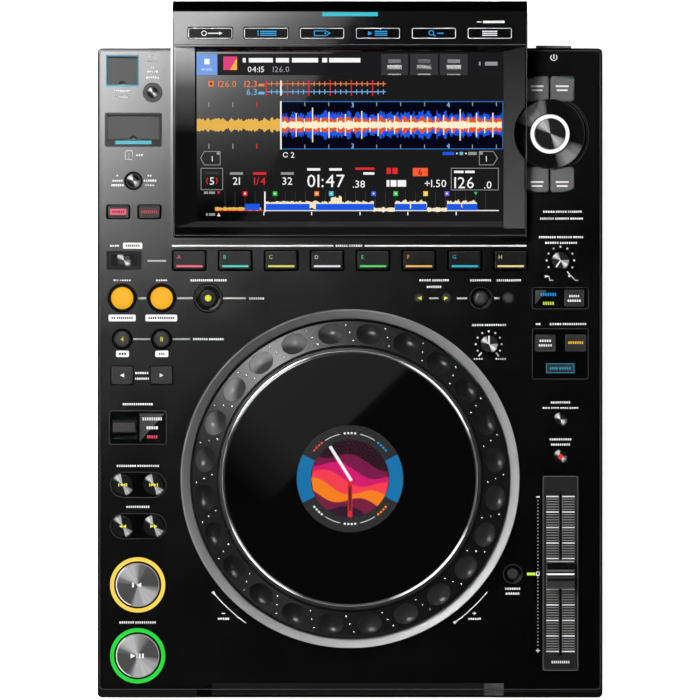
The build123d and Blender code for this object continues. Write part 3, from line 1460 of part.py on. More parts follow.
usb_frame_width = usb_cover_width + 2 * frame_width
usb_frame_length = usb_cover_length + 2 * frame_width
tempo_light_x = reset_x + 11.9
tempo_light_width, tempo_light_length = 5.4, 1.8
with BuildPart() as lights:
    with BuildSketch(Plane.XY.offset(disc_top_z - selector_groove)):
        with Locations((selector_x, row_selector)):
            Circle(selector_light_outer / 2)
            Circle(selector_light_inner / 2, mode=Mode.SUBTRACT)
    extrude(amount=selector_groove + light_proud)
    with BuildSketch(Plane.XY.offset(deck_z)):
        with Locations((usb_x, row_usb)):
            Rectangle(usb_frame_width, usb_frame_length)
            Rectangle(usb_cover_width, usb_cover_length, mode=Mode.SUBTRACT)
        with Locations((sd_x, row_sd - light_drop)):
            Rectangle(sd_light_width, sd_light_length)
        with Locations((tempo_light_x, row_fader)):
            Rectangle(tempo_light_width, tempo_light_length)
    extrude(amount=plate_thickness)
    with BuildSketch(hood_plane.offset(-strip_roof)):
        with Locations((0, light_bar_offset)):
            Rectangle(light_bar_width, light_bar_length)
    extrude(amount=strip_roof + light_proud)
write(lights.part, "light_guides")
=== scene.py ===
"""Looks of a tabletop disc-jockey player: finishes, legends, lit parts and displays over its fixed frame.

Sizes are in millimetres in the frame's own axes, and become metres when a mesh is made.
"""

from __future__ import annotations

import json
import logging
import math
from dataclasses import dataclass, field
from enum import Enum
from typing import Iterable, Sequence

import bmesh
import bpy
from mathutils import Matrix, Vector

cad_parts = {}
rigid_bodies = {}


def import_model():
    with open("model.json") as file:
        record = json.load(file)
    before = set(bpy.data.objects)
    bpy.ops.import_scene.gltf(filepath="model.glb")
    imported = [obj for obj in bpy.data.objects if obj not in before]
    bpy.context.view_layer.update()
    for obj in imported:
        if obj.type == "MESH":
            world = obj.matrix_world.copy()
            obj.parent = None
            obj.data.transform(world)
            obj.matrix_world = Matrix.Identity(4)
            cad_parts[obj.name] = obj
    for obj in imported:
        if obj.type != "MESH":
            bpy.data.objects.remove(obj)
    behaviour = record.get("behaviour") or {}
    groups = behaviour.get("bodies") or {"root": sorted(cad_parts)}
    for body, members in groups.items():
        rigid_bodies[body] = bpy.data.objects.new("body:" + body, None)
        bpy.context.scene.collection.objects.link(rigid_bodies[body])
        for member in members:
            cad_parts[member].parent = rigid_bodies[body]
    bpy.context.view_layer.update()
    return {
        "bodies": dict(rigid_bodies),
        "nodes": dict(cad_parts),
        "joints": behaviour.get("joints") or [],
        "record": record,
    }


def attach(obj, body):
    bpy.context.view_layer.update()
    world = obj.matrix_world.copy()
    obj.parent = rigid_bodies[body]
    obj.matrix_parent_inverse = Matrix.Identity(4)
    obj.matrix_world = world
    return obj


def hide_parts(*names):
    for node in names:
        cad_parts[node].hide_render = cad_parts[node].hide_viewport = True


LOG = logging.getLogger("player_looks")
MM = 0.001
SMOOTH_ANGLE = math.radians(30)
DECK_Z = 68
JOG_Y = -83.7

Colour = tuple[float, float, float]
Point = tuple[float, float]
Point3 = tuple[float, float, float]
Socket = bpy.types.NodeSocket
Node = bpy.types.Node


def grey(value: float) -> Colour:
    """Returns a neutral colour of that linear value."""
    return (value, value, value)


def polar(x: float, y: float, radius: float, turn: float) -> Point:
    """Returns the point at that radius and turn, in degrees, about a centre."""
    angle = math.radians(turn)
    return (x + radius * math.cos(angle), y + radius * math.sin(angle))


def dim(colour: Colour, share: float) -> Colour:
    """Returns that share of a colour."""
    return tuple(part * share for part in colour)


# ---------------------------------------------------------------- node wiring


class Wiring:
    """Adds and links the nodes of one tree."""

    def __init__(self, tree: bpy.types.NodeTree) -> None:
        """Keeps the tree that the nodes go into."""
        self.tree = tree

    def add(
        self, kind: str, settings: dict[str, object] | None = None, *values: object, **named: object
    ) -> Node:
        """Adds a node.

        Args:
            kind: The node's type name.
            settings: Properties of the node itself.
            values: Values or output sockets for its first inputs, in their order.
            named: The same for its other inputs: by name, with underscores for spaces, or as i and a number.

        Returns:
            The new node.
        """
        node = self.tree.nodes.new(kind)
        for key, value in (settings or {}).items():
            setattr(node, key, value)
        for i, value in enumerate(values):
            self.put(node.inputs[i], value)
        for key, value in named.items():
            numbered = key[0] == "i" and key[1:].isdigit()
            self.put(node.inputs[int(key[1:]) if numbered else key.replace("_", " ")], value)
        return node

    def put(self, socket: Socket, value: object) -> None:
        """Links an output to the socket, or sets its value."""
        if isinstance(value, Socket):
            self.tree.links.new(value, socket)
        elif isinstance(value, tuple) and len(value) == 3 and socket.type == "RGBA":
            socket.default_value = (*value, 1)
        else:
            socket.default_value = value

    def math(self, operation: str, *values: object) -> Socket:
        """Returns the result of a Math node on the values."""
        return self.add("ShaderNodeMath", {"operation": operation}, *values).outputs[0]

    def vector(self, operation: str, *values: object, **named: object) -> Socket:
        """Returns the result of a Vector Math node on the values, a number for a dot product."""
        node = self.add("ShaderNodeVectorMath", {"operation": operation}, *values, **named)
        return node.outputs["Value" if operation == "DOT_PRODUCT" else 0]

    def spread(self, value: object, low: float, high: float, to_low: float, to_high: float) -> Socket:
        """Returns the value, clamped and mapped from low..high to to_low..to_high."""
        return self.add("ShaderNodeMapRange", None, value, low, high, to_low, to_high).outputs[0]

    def mix(self, factor: object, first: object, second: object) -> Socket:
        """Returns a mix of two colours."""
        return self.add("ShaderNodeMix", {"data_type": "RGBA"}, factor, i6=first, i7=second).outputs[2]

    def mix_value(self, factor: object, first: object, second: object) -> Socket:
        """Returns a mix of two numbers."""
        return self.add("ShaderNodeMix", {"data_type": "FLOAT"}, factor, i2=first, i3=second).outputs[0]

    def place(self) -> Socket:
        """Returns the point of the surface, on Object coordinates."""
        return self.add("ShaderNodeTexCoord").outputs["Object"]

    def split(self, point: Socket | None = None) -> list[Socket]:
        """Returns the three parts of a point, by default the surface's own."""
        return list(self.add("ShaderNodeSeparateXYZ", None, self.place() if point is None else point).outputs)

    def radius(self, x: Socket, y: Socket) -> Socket:
        """Returns how far a place lies from the axis."""
        return self.math("SQRT", self.math("ADD", self.math("MULTIPLY", x, x), self.math("MULTIPLY", y, y)))

    def facing(self, x: Socket, y: Socket, heading: object, lobes: float = 1.0) -> Socket:
        """Returns 1 where a place round the axis lies at the heading, and -1 half a lobe away."""
        away = self.math("SUBTRACT", self.math("ARCTAN2", y, x), heading)
        return self.math("COSINE", self.math("MULTIPLY", away, lobes))

    def beam(self, value: Socket, power: float) -> Socket:
        """Returns the part of a value above nought, raised to a power."""
        return self.math("POWER", self.math("MAXIMUM", value, 0), power)

    def effect(self, effect: Effect, **inputs: object) -> dict[str, Socket]:
        """Returns the outputs of a shared effect's group, placed with its own values."""
        node = self.add("ShaderNodeGroup", {"node_tree": EFFECTS.get(effect)}, **inputs)
        return {socket.name: socket for socket in node.outputs}


def blank_material(name: str) -> tuple[bpy.types.Material, Wiring]:
    """Returns a new material with an empty tree, and the wiring of that tree."""
    made = bpy.data.materials.new(name)
    made.use_nodes = True
    made.node_tree.nodes.clear()
    return made, Wiring(made.node_tree)


@dataclass(frozen=True)
class Patch:
    """A box in plan, by its centre and half sizes in millimetres, that wears its own colour or light.

    Its colour may be painted light or shade; it may turn into another by the box's rear edge (far), as a
    painted reflection, or hold two painted highlight fans. It may have a shine of its own, and may count above
    a height only.
    """

    x: float
    y: float
    half_x: float
    half_y: float
    colour: Colour
    glow: float = 0.0
    fan: float | None = None
    low: float = 0.06
    narrow: float = 0.1
    far: Colour | None = None
    shine: float | None = None
    above: float | None = None


class Effect(Enum):
    """Surface effects that more than one finish uses."""

    HAIRLINE = "hairline"
    MOTTLE = "mottle"
    TURNED = "turned"


class EffectShelf:
    """Builds each effect's shader node group once, and hands it out."""

    def __init__(self) -> None:
        """Starts with an empty shelf."""
        self.groups: dict[Effect, bpy.types.NodeTree] = {}

    def get(self, effect: Effect) -> bpy.types.NodeTree:
        """Returns the effect's group, built at its first use."""
        if effect not in self.groups:
            maker = {Effect.HAIRLINE: self._hairline, Effect.MOTTLE: self._mottle, Effect.TURNED: self._turned}
            self.groups[effect] = maker[effect]()
        return self.groups[effect]

    def _start(self, name: str, inputs: dict[str, object], outputs: Iterable[str]) -> tuple[Wiring, Node, Node]:
        """Makes a group with its named sockets.

        Args:
            name: The group's name.
            inputs: Input names with their default values; a tuple makes a vector.
            outputs: Names of its value outputs.

        Returns:
            Its wiring, input node and output node.
        """
        tree = bpy.data.node_groups.new(name, "ShaderNodeTree")
        for key, value in inputs.items():
            kind = "NodeSocketVector" if isinstance(value, tuple) else "NodeSocketFloat"
            tree.interface.new_socket(name=key, in_out="INPUT", socket_type=kind).default_value = value
        for key in outputs:
            tree.interface.new_socket(name=key, in_out="OUTPUT", socket_type="NodeSocketFloat")
        wires = Wiring(tree)
        return wires, wires.add("NodeGroupInput"), wires.add("NodeGroupOutput")

    def _hairline(self) -> bpy.types.NodeTree:
        """Returns the group of fine brushing lines that run from front to rear."""
        wires, given, result = self._start("hairline", {"Across": 2600, "Along": 18}, ("Line", "Scratch"))
        across, along = given.outputs["Across"], given.outputs["Along"]
        parts = [
            wires.math("MULTIPLY", part, scale) for part, scale in zip(wires.split(), (across, along, along))
        ]
        fine = wires.add("ShaderNodeCombineXYZ", None, *parts).outputs[0]
        noise = wires.add("ShaderNodeTexNoise", Vector=fine, Scale=1, Detail=3, Roughness=0.6)
        wires.put(result.inputs["Line"], noise.outputs[0])
        coarse = wires.vector("MULTIPLY", fine, (0.32, 1.6, 1))
        marks = wires.add("ShaderNodeTexNoise", Vector=coarse, Scale=1, Detail=1, Roughness=0.4)
        wires.put(result.inputs["Scratch"], wires.spread(marks.outputs[0], 0.62, 0.78, 0, 1))
        return wires.tree

    def _mottle(self) -> bpy.types.NodeTree:
        """Returns the group of moulding grain and soft handling marks."""
        wires, given, result = self._start("mottle", {"Grain": 2400, "Marks": 28}, ("Grain", "Marks"))
        place = wires.place()
        grain = wires.add("ShaderNodeTexNoise", Vector=place, Scale=given.outputs["Grain"], Detail=2)
        marks = wires.add(
            "ShaderNodeTexNoise", Vector=place, Scale=given.outputs["Marks"], Detail=4, Roughness=0.65
        )
        wires.put(result.inputs["Grain"], grain.outputs[0])
        wires.put(result.inputs["Marks"], wires.spread(marks.outputs[0], 0.35, 0.7, 0, 1))
        return wires.tree

    def _turned(self) -> bpy.types.NodeTree:
        """Returns the group of concentric turning lines about a centre, and the mask of two painted highlight
        fans.
        """
        wires, given, result = self._start(
            "turned", {"Centre": (0, 0, 0), "Pitch": 5200, "Fan": 2.2, "Edge": -0.7}, ("Groove", "Fan")
        )
        x, y, _ = wires.split(wires.vector("SUBTRACT", wires.place(), given.outputs["Centre"]))
        along = wires.add(
            "ShaderNodeCombineXYZ", X=wires.math("MULTIPLY", wires.radius(x, y), given.outputs["Pitch"])
        )
        groove = wires.add("ShaderNodeTexNoise", Vector=along.outputs[0], Scale=1, Detail=2)
        wires.put(result.inputs["Groove"], groove.outputs[0])
        angle = wires.math("ARCTAN2", y, x)
        sides = wires.math("COSINE", angle), wires.math("SINE", angle), given.outputs["Fan"]
        ripple = wires.add("ShaderNodeCombineXYZ", None, *sides)
        uneven = wires.add("ShaderNodeTexNoise", Vector=ripple.outputs[0], Scale=2.2, Detail=1)
        # The Fan mask: two bright wedges by angle about the centre, painted into colour as highlights.
        turn = wires.facing(x, y, given.outputs["Fan"], 2)
        fans = wires.math("ADD", turn, wires.spread(uneven.outputs[0], 0.3, 0.7, -0.45, 0.45))
        wires.put(result.inputs["Fan"], wires.spread(fans, given.outputs["Edge"], 1.1, 0, 1))
        return wires.tree


EFFECTS = EffectShelf()


# ---------------------------------------------------------------- finishes

MARK_DARK = 0.9
MARK_LIGHT = 1.12
GRAIN_DEPTH = 0.00002


@dataclass(frozen=True)
class Finish:
    """A smooth moulded finish, and the base of the others."""

    name: str
    colour: Colour
    roughness: float = 0.4
    metallic: float = 0.0
    specular: float = 0.5
    grain: float = 0.012
    marks: float = 0.06

    def material(self) -> bpy.types.Material:
        """Returns the finish's material, made at its first use."""
        known = bpy.data.materials.get(self.name)
        if known is not None:
            return known
        made, wires = blank_material(self.name)
        skin = wires.add("ShaderNodeBsdfPrincipled", Metallic=self.metallic, Specular_IOR_Level=self.specular)
        wires.add("ShaderNodeOutputMaterial", Surface=skin.outputs[0])
        self.paint(wires, skin)
        made.diffuse_color = (*self.colour, 1)
        return made

    def paint(self, wires: Wiring, skin: Node) -> None:
        """Wires moulding grain and handling marks into the shader.

        Args:
            wires: The material's wiring.
            skin: Its shader.
        """
        mottle = wires.effect(Effect.MOTTLE)
        wires.put(
            skin.inputs["Base Color"],
            wires.mix(mottle["Marks"], dim(self.colour, MARK_DARK), dim(self.colour, MARK_LIGHT))
        )
        least, most = max(self.roughness - self.marks, 0.02), self.roughness + self.marks
        wires.put(skin.inputs["Roughness"], wires.spread(mottle["Marks"], 0, 1, least, most))
        if self.grain:
            bump = wires.add(
                "ShaderNodeBump", Strength=self.grain * 10, Distance=GRAIN_DEPTH, Height=mottle["Grain"]
            )
            wires.put(skin.inputs["Normal"], bump.outputs[0])


@dataclass(frozen=True)
class Patched(Finish):
    """A finish with places on the piece that wear their own colour or light, painted light and shade, or
    painted highlight fans.
    """

    patches: tuple[Patch, ...] = ()

    def paint(self, wires: Wiring, skin: Node) -> None:
        """Wires the plain finish, then lays each place over its colour, shine and light."""
        super().paint(wires, skin)
        colour = skin.inputs["Base Color"].links[0].from_socket
        light: object = (0, 0, 0)
        shine: object = self.specular
        x, y, z = wires.split()
        for patch in self.patches:
            sides = ((x, patch.x, patch.half_x), (y, patch.y, patch.half_y))
            mask = wires.math(
                "MULTIPLY", *(wires.math("COMPARE", at, middle * MM, half * MM) for at, middle, half in sides)
            )
            if patch.above is not None:
                mask = wires.math("MULTIPLY", mask, wires.math("GREATER_THAN", z, patch.above * MM))
            shade: object = patch.colour
            # A far colour grades the place towards its rear edge: a painted reflection.
            if patch.far is not None:
                start, end = (patch.y - patch.half_y) * MM, (patch.y + patch.half_y) * MM
                shade = wires.mix(wires.spread(y, start, end, 0, 1), patch.colour, patch.far)
            if patch.shine is not None:
                shine = wires.mix_value(mask, shine, patch.shine)
            if patch.glow:
                light = wires.mix(mask, light, dim(patch.colour, patch.glow))
                shade = dim(patch.colour, 0.05)
            elif patch.fan is not None:
                # Fans are painted highlights: bright wedges laid into the colour.
                centre = (patch.x * MM, patch.y * MM, 0)
                fans = wires.effect(Effect.TURNED, Centre=centre, Fan=patch.fan, Edge=patch.narrow)
                shade = wires.mix(fans["Fan"], dim(patch.colour, patch.low), patch.colour)
            colour = wires.mix(mask, colour, shade)
        wires.put(skin.inputs["Base Color"], colour)
        wires.put(skin.inputs["Specular IOR Level"], shine)
        if isinstance(light, Socket):
            wires.put(skin.inputs["Emission Color"], light)
            skin.inputs["Emission Strength"].default_value = 1


@dataclass(frozen=True)
class Hairline(Finish):
    """A satin finish with fine brushing that runs from front to rear."""

    across: float = 2600.0
    along: float = 18.0
    depth: float = 0.25

    def paint(self, wires: Wiring, skin: Node) -> None:
        """Wires the brushing lines into colour, roughness and relief."""
        lines = wires.effect(Effect.HAIRLINE, Across=self.across, Along=self.along)
        smear = wires.math("MULTIPLY", wires.effect(Effect.MOTTLE)["Marks"], 0.04)
        line = wires.spread(lines["Line"], 0.3, 0.7, 0, 1)
        brushed = wires.mix(line, dim(self.colour, 0.55), dim(self.colour, 1.5))
        scratch = tuple(part * 2.2 + 0.0015 for part in self.colour)
        wires.put(
            skin.inputs["Base Color"],
            wires.mix(wires.math("MULTIPLY", lines["Scratch"], 0.5), brushed, scratch)
        )
        rough = wires.spread(line, 0, 1, self.roughness - self.marks, self.roughness + self.marks)
        wires.put(skin.inputs["Roughness"], wires.math("ADD", rough, smear))
        bump = wires.add("ShaderNodeBump", Strength=self.depth, Distance=0.00003, Height=lines["Line"])
        wires.put(skin.inputs["Normal"], bump.outputs[0])


@dataclass(frozen=True)
class Lit(Finish):
    """A lit window, lamp or pixel under a glossy face."""

    glow: float = 1.0
    roughness: float = 0.1
    specular: float = 0.03
    face: float = 0.02

    def paint(self, wires: Wiring, skin: Node) -> None:
        """Wires the light into the shader over a dark face."""
        marks = wires.effect(Effect.MOTTLE)["Marks"]
        face = dim(self.colour, self.face)
        wires.put(skin.inputs["Base Color"], wires.mix(marks, face, dim(face, 1.2)))
        skin.inputs["Roughness"].default_value = self.roughness
        wires.put(skin.inputs["Emission Color"], wires.mix(marks, dim(self.colour, 0.96), self.colour))
        skin.inputs["Emission Strength"].default_value = self.glow


@dataclass(frozen=True)
class PatchedHairline(Patched, Hairline):
    """A brushed finish with places of its own."""


@dataclass(frozen=True)
class Wheeled(Finish):
    """A finish that knows the wheel's axis, and shows a heading from it."""

    centre: Point = (0, JOG_Y)
    heading: float = 0.0

    def away(self, wires: Wiring) -> Socket:
        """Returns the surface's point, measured from the axis."""
        return wires.vector("SUBTRACT", wires.place(), (self.centre[0] * MM, self.centre[1] * MM, 0))

    def unit(self, wires: Wiring, way: Socket) -> Socket:
        """Returns the way in plan, one long."""
        return wires.vector("NORMALIZE", wires.vector("MULTIPLY", way, (1, 1, 0)))

    def carry(self, wires: Wiring, way: Socket, start: str, end: str) -> Socket:
        """Returns a way of the start space, OBJECT or WORLD, in the end space."""
        settings = {"vector_type": "VECTOR", "convert_from": start, "convert_to": end}
        return wires.add("ShaderNodeVectorTransform", settings, way).outputs[0]


@dataclass(frozen=True)
class Dimpled(Wheeled):
    """The platter's satin, which catches the light as a shallow cone does.

    Its dimples hold a painted soft sheen in their colour towards the heading, lightest where they face a spot
    beside the axis, and a fainter painted sheen on the other side.
    """

    lean: float = 0.1
    heading: float = 2.32
    spot: Point = (-44, 57)
    sheen: float = 0.125
    faint: float = 0.07
    below: float = 77.9
    circle: float = 94.9
    reach: float = 6.7

    def paint(self, wires: Wiring, skin: Node) -> None:
        """Wires the plain finish, leans its normals away from the axis, and paints a sheen into the dimples'
        colour.
        """
        super().paint(wires, skin)
        bump = skin.inputs["Normal"].links[0].from_node
        away = self.away(wires)
        lean = wires.vector("SCALE", self.unit(wires, away), Scale=self.lean)
        upright = wires.add("ShaderNodeNewGeometry").outputs["Normal"]
        both = wires.vector("ADD", upright, self.carry(wires, lean, "OBJECT", "WORLD"))
        wires.put(bump.inputs["Normal"], wires.vector("NORMALIZE", both))
        x, y, z = wires.split(away)
        band = wires.math("COMPARE", wires.radius(x, y), self.circle * MM, self.reach * MM)
        deep = wires.math("MULTIPLY", wires.math("LESS_THAN", z, self.below * MM), band)
        # Painted sheen: the dimples' colour lightens towards the heading, most where they face the spot.
        towards = wires.vector("SUBTRACT", (self.spot[0] * MM, self.spot[1] * MM, 0), away)
        slope = self.carry(wires, upright, "WORLD", "OBJECT")
        share = wires.spread(wires.vector("DOT_PRODUCT", slope, self.unit(wires, towards)), -0.2, 0.14, 0.12, 1)
        turn = wires.facing(x, y, self.heading)
        other = wires.beam(wires.math("MULTIPLY", turn, -1), 2)
        lit = wires.math("MULTIPLY_ADD", other, self.faint, wires.math("MULTIPLY", wires.beam(turn, 7), share))
        shade = wires.mix(wires.math("MULTIPLY", lit, deep), self.colour, grey(self.sheen))
        wires.put(skin.inputs["Base Color"], shade)


@dataclass(frozen=True)
class SweptPaintedSheen(Wheeled):
    """A satin ring with a painted sheen: its colour lightens round its axis towards the heading."""

    heading: float = -0.785
    low: float = 0.16
    high: float = 0.8

    def paint(self, wires: Wiring, skin: Node) -> None:
        """Wires the plain finish, then paints light and shade into its colour by the angle about the axis."""
        super().paint(wires, skin)
        x, y, _ = wires.split(self.away(wires))
        turn = wires.facing(x, y, self.heading)
        rise = wires.spread(turn, -1, 1, self.low, self.high)
        level = wires.math("MULTIPLY_ADD", wires.beam(turn, 8), 1 - self.high, rise)
        wires.put(skin.inputs["Base Color"], wires.mix(level, grey(0), self.colour))


# ---------------------------------------------------------------- meshes


@dataclass(frozen=True)
class Plane2:
    """A flat working plane in the frame, with its own two axes, in millimetres."""

    origin: Point3 = (0, 0, DECK_Z)
    across: Point3 = (1, 0, 0)
    up: Point3 = (0, 1, 0)

    def at(self, x: float, y: float, lift: float = 0.0) -> Vector:
        """Returns the frame's point for a point of the plane, raised by lift, in metres."""
        a, b = Vector(self.across), Vector(self.up)
        return (Vector(self.origin) + a * x + b * y + a.cross(b) * lift) * MM


class Draft:
    """Collects faces with their finishes, and makes one mesh object of them."""

    def __init__(self, name: str) -> None:
        """Starts an empty draft of that name."""
        self.name = name
        self.points: list[Vector] = []
        self.faces: list[tuple[tuple[int, ...], Finish]] = []

    def face(self, points: Sequence[Vector], finish: Finish) -> None:
        """Adds one face, with its points anticlockwise as seen from outside."""
        start = len(self.points)
        self.points.extend(points)
        self.faces.append((tuple(range(start, start + len(points))), finish))

    def make(self, body: str, slot: str, replaced: Sequence[str] = (), merge: bool = True) -> bpy.types.Object:
        """Args:
            body: The body that it rides on.
            slot: The record's material slot that it belongs to; not used.
            replaced: The nodes that it stands for.
            merge: Whether points at one place become one.

        Returns:
            The finished object.
        """
        mesh = bpy.data.meshes.new(self.name)
        mesh.from_pydata([tuple(p) for p in self.points], [], [f[0] for f in self.faces])
        order: list[Finish] = []
        for polygon, (_, finish) in zip(mesh.polygons, self.faces):
            if finish not in order:
                order.append(finish)
            polygon.material_index = order.index(finish)
        for finish in order:
            mesh.materials.append(finish.material())
        if merge:
            work = bmesh.new()
            work.from_mesh(mesh)
            bmesh.ops.remove_doubles(work, verts=work.verts, dist=1e-6)
            work.to_mesh(mesh)
            work.free()
        mesh.shade_smooth()
        mesh.set_sharp_from_angle(angle=SMOOTH_ANGLE)
        mesh.update()
        return declare(bpy.data.objects.new(self.name, mesh), body, replaced)


def declare(piece: bpy.types.Object, body: str, replaced: Sequence[str] = ()) -> bpy.types.Object:
    """Links a piece into the scene and tells the frame its body and nodes.

    Args:
        piece: The finished object.
        body: The body that it rides on.
        replaced: The nodes that it stands for.

    Returns:
        The same object.
    """
    bpy.context.scene.collection.objects.link(piece)
    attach(piece, body)
    if replaced:
        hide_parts(*replaced)
    LOG.info("%s: %d faces on %s", piece.name, len(piece.data.polygons), body)
    return piece


CAPITAL_HEIGHT = 0.7
SIGN_GAP = 0.16
BLANK_WIDTH = 0.35


class Glyphs:
    """Cuts plain letters and numerals into flat triangles, once each."""

    def __init__(self) -> None:
        """Starts with no glyph cut."""
        self.known: dict[str, tuple[list[Point], list[tuple[int, ...]], float]] = {}

    def get(self, sign: str) -> tuple[list[Point], list[tuple[int, ...]], float]:
        """Returns the sign's points, faces and width, for a height of one."""
        if sign not in self.known:
            curve = bpy.data.curves.new("glyph", "FONT")
            curve.body, curve.size, curve.resolution_u = sign, 1, 2
            holder = bpy.data.objects.new("glyph", curve)
            bpy.context.scene.collection.objects.link(holder)
            seen = holder.evaluated_get(bpy.context.evaluated_depsgraph_get())
            mesh = bpy.data.meshes.new_from_object(seen)
            points = [(v.co.x / CAPITAL_HEIGHT, v.co.y / CAPITAL_HEIGHT) for v in mesh.vertices]
            left, right = min(p[0] for p in points), max(p[0] for p in points)
            faces = [tuple(p.vertices) for p in mesh.polygons]
            self.known[sign] = ([(p[0] - left, p[1]) for p in points], faces, right - left)
            bpy.data.objects.remove(holder)
            bpy.data.curves.remove(curve)
            bpy.data.meshes.remove(mesh)
        return self.known[sign]


GLYPHS = Glyphs()


class Art:
    """Flat printing, inlays and pictures on a working plane."""

    def __init__(self, name: str, plane: Plane2, lift: float = 0.04) -> None:
        """Starts an empty sheet that floats by lift above its plane."""
        self.draft = Draft(name)
        self.plane = plane
        self.lift = lift

    def poly(self, points: Sequence[Point], finish: Finish, over: float = 0.0) -> None:
        """Adds a filled convex outline, anticlockwise, raised by over above the sheet."""
        self.draft.face([self.plane.at(x, y, self.lift + over) for x, y in points], finish)

    def rect(self, x0: float, y0: float, x1: float, y1: float, finish: Finish, over: float = 0.0) -> None:
        """Adds a filled rectangle between two corners."""
        x0, x1, y0, y1 = min(x0, x1), max(x0, x1), min(y0, y1), max(y0, y1)
        self.poly([(x0, y0), (x1, y0), (x1, y1), (x0, y1)], finish, over)

    def block(self, x: float, y: float, width: float, height: float, finish: Finish, over: float = 0.0) -> None:
        """Adds a filled rectangle about its centre."""
        self.rect(x - width / 2, y - height / 2, x + width / 2, y + height / 2, finish, over)

    def line(self, start: Point, end: Point, width: float, finish: Finish, over: float = 0.0) -> None:
        """Adds a straight stroke."""
        along = Vector((end[0] - start[0], end[1] - start[1]))
        side = Vector((-along.y, along.x)).normalized() * width / 2
        a, b = Vector(start), Vector(end)
        self.poly([tuple(a - side), tuple(b - side), tuple(b + side), tuple(a + side)], finish, over)

    def path(
        self, points: Sequence[Point], width: float, finish: Finish, closed: bool = False, over: float = 0.0
    ) -> None:
        """Adds a stroke through the points, with mitred corners."""
        count = len(points)
        sides = []
        for i, point in enumerate(points):
            before = points[i - 1] if closed or i else points[i]
            after = points[(i + 1) % count] if closed or i + 1 < count else points[i]
            into, out = Vector(point) - Vector(before), Vector(after) - Vector(point)
            into, out = (into or out).normalized(), (out or into).normalized()
            mitre = Vector((-into.y - out.y, into.x + out.x)).normalized()
            reach = width / 2 / max(mitre.dot(Vector((-into.y, into.x))), 0.3)
            sides.append((tuple(Vector(point) - mitre * reach), tuple(Vector(point) + mitre * reach)))
        for i in range(count if closed else count - 1):
            (a, b), (c, d) = sides[i], sides[(i + 1) % count]
            self.poly([a, c, d, b], finish, over)

    def frame(
        self, x0: float, y0: float, x1: float, y1: float, width: float, finish: Finish, radius: float = 0.0,
        over: float = 0.0
    ) -> None:
        """Adds a rectangular outline, with its corners rounded by radius."""
        x0, y0, x1, y1 = x0 + radius, y0 + radius, x1 - radius, y1 - radius
        corners = ((x1, y1, 0), (x0, y1, 90), (x0, y0, 180), (x1, y0, 270))
        steps = (0, 30, 60, 90) if radius else (0,)
        points = [polar(x, y, radius, turn + step) for x, y, turn in corners for step in steps]
        self.path(points, width, finish, True, over)

    def arc(
        self, x: float, y: float, radius: float, width: float, start: float, end: float, finish: Finish,
        over: float = 0.0
    ) -> None:
        """Adds an arc stroke from start to end, in degrees."""
        steps = max(int(abs(end - start) / 4), 2)
        turns = [start + (end - start) * i / steps for i in range(steps + 1)]
        inner, outer = radius - width / 2, radius + width / 2
        for a, b in zip(turns, turns[1:]):
            corners = ((inner, a), (outer, a), (outer, b), (inner, b))
            self.poly([polar(x, y, reach, turn) for reach, turn in corners], finish, over)

    def disc(
        self, x: float, y: float, radius: float, finish: Finish, sides: int = 20, over: float = 0.0
    ) -> None:
        """Adds a filled disc."""
        self.poly([polar(x, y, radius, 360 * i / sides) for i in range(sides)], finish, over)

    def sign(
        self, text: str, x: float, y: float, height: float, finish: Finish, anchor: float = 0.5,
        over: float = 0.0
    ) -> None:
        """Adds plain letters or numerals in a row.

        Args:
            text: The signs, with a blank for a gap.
            x: Where the row's anchor lies.
            y: The middle of the signs' height.
            height: The height of a capital.
            finish: Its finish.
            anchor: 0 where x is the row's left end, 0.5 its middle and 1 its right end.
            over: The lift above the sheet.
        """
        cut = [GLYPHS.get(c) if c != " " else ([], [], BLANK_WIDTH) for c in text]
        total = (sum(c[2] for c in cut) + SIGN_GAP * (len(cut) - 1)) * height
        left = x - total * anchor
        for points, faces, width in cut:
            for face in faces:
                spots = [(left + points[i][0] * height, y + (points[i][1] - 0.5) * height) for i in face]
                self.poly(spots, finish, over)
            left += (width + SIGN_GAP) * height

    def arrow(self, x: float, y: float, size: float, turn: float, finish: Finish, over: float = 0.0) -> None:
        """Adds a filled triangle of that size that points along turn, in degrees."""
        spots = ((0.5, 0), (-0.5, 0.5), (-0.5, -0.5))
        c, s = math.cos(math.radians(turn)), math.sin(math.radians(turn))
        self.poly([(x + size * (u * c - v * s), y + size * (u * s + v * c)) for u, v in spots], finish, over)

    def make(self, body: str, slot: str = "light") -> bpy.types.Object:
        """Makes the sheet's object on a body."""
        return self.draft.make(body, slot, merge=False)


# ---------------------------------------------------------------- the player's finishes


def tone(red: float, green: float, blue: float) -> Colour:
    """Returns the linear colour of a display colour whose parts run from 0 to 255."""
    return tuple(
        ((c / 255 + 0.055) / 1.055) ** 2.4 if c > 10.3 else c / 255 / 12.92 for c in (red, green, blue)
    )


@dataclass(frozen=True)
class Clear(Finish):
    """A clear, smooth window."""

    def paint(self, wires: Wiring, skin: Node) -> None:
        """Sets plain transmission, with faint smears in its roughness."""
        wires.put(skin.inputs["Base Color"], self.colour)
        skin.inputs["Transmission Weight"].default_value = 1
        skin.inputs["IOR"].default_value = 1.2
        marks = wires.effect(Effect.MOTTLE)["Marks"]
        wires.put(skin.inputs["Roughness"], wires.spread(marks, 0, 1, 0, 0.01))


def thin(name: str, level: float, roughness: float = 0.3, specular: float = 0.04) -> Finish:
    """Returns the smooth grey of a printed line, or of a line of painted highlight or shadow."""
    return Finish(name, grey(level), roughness=roughness, specular=specular, marks=0.03, grain=0)


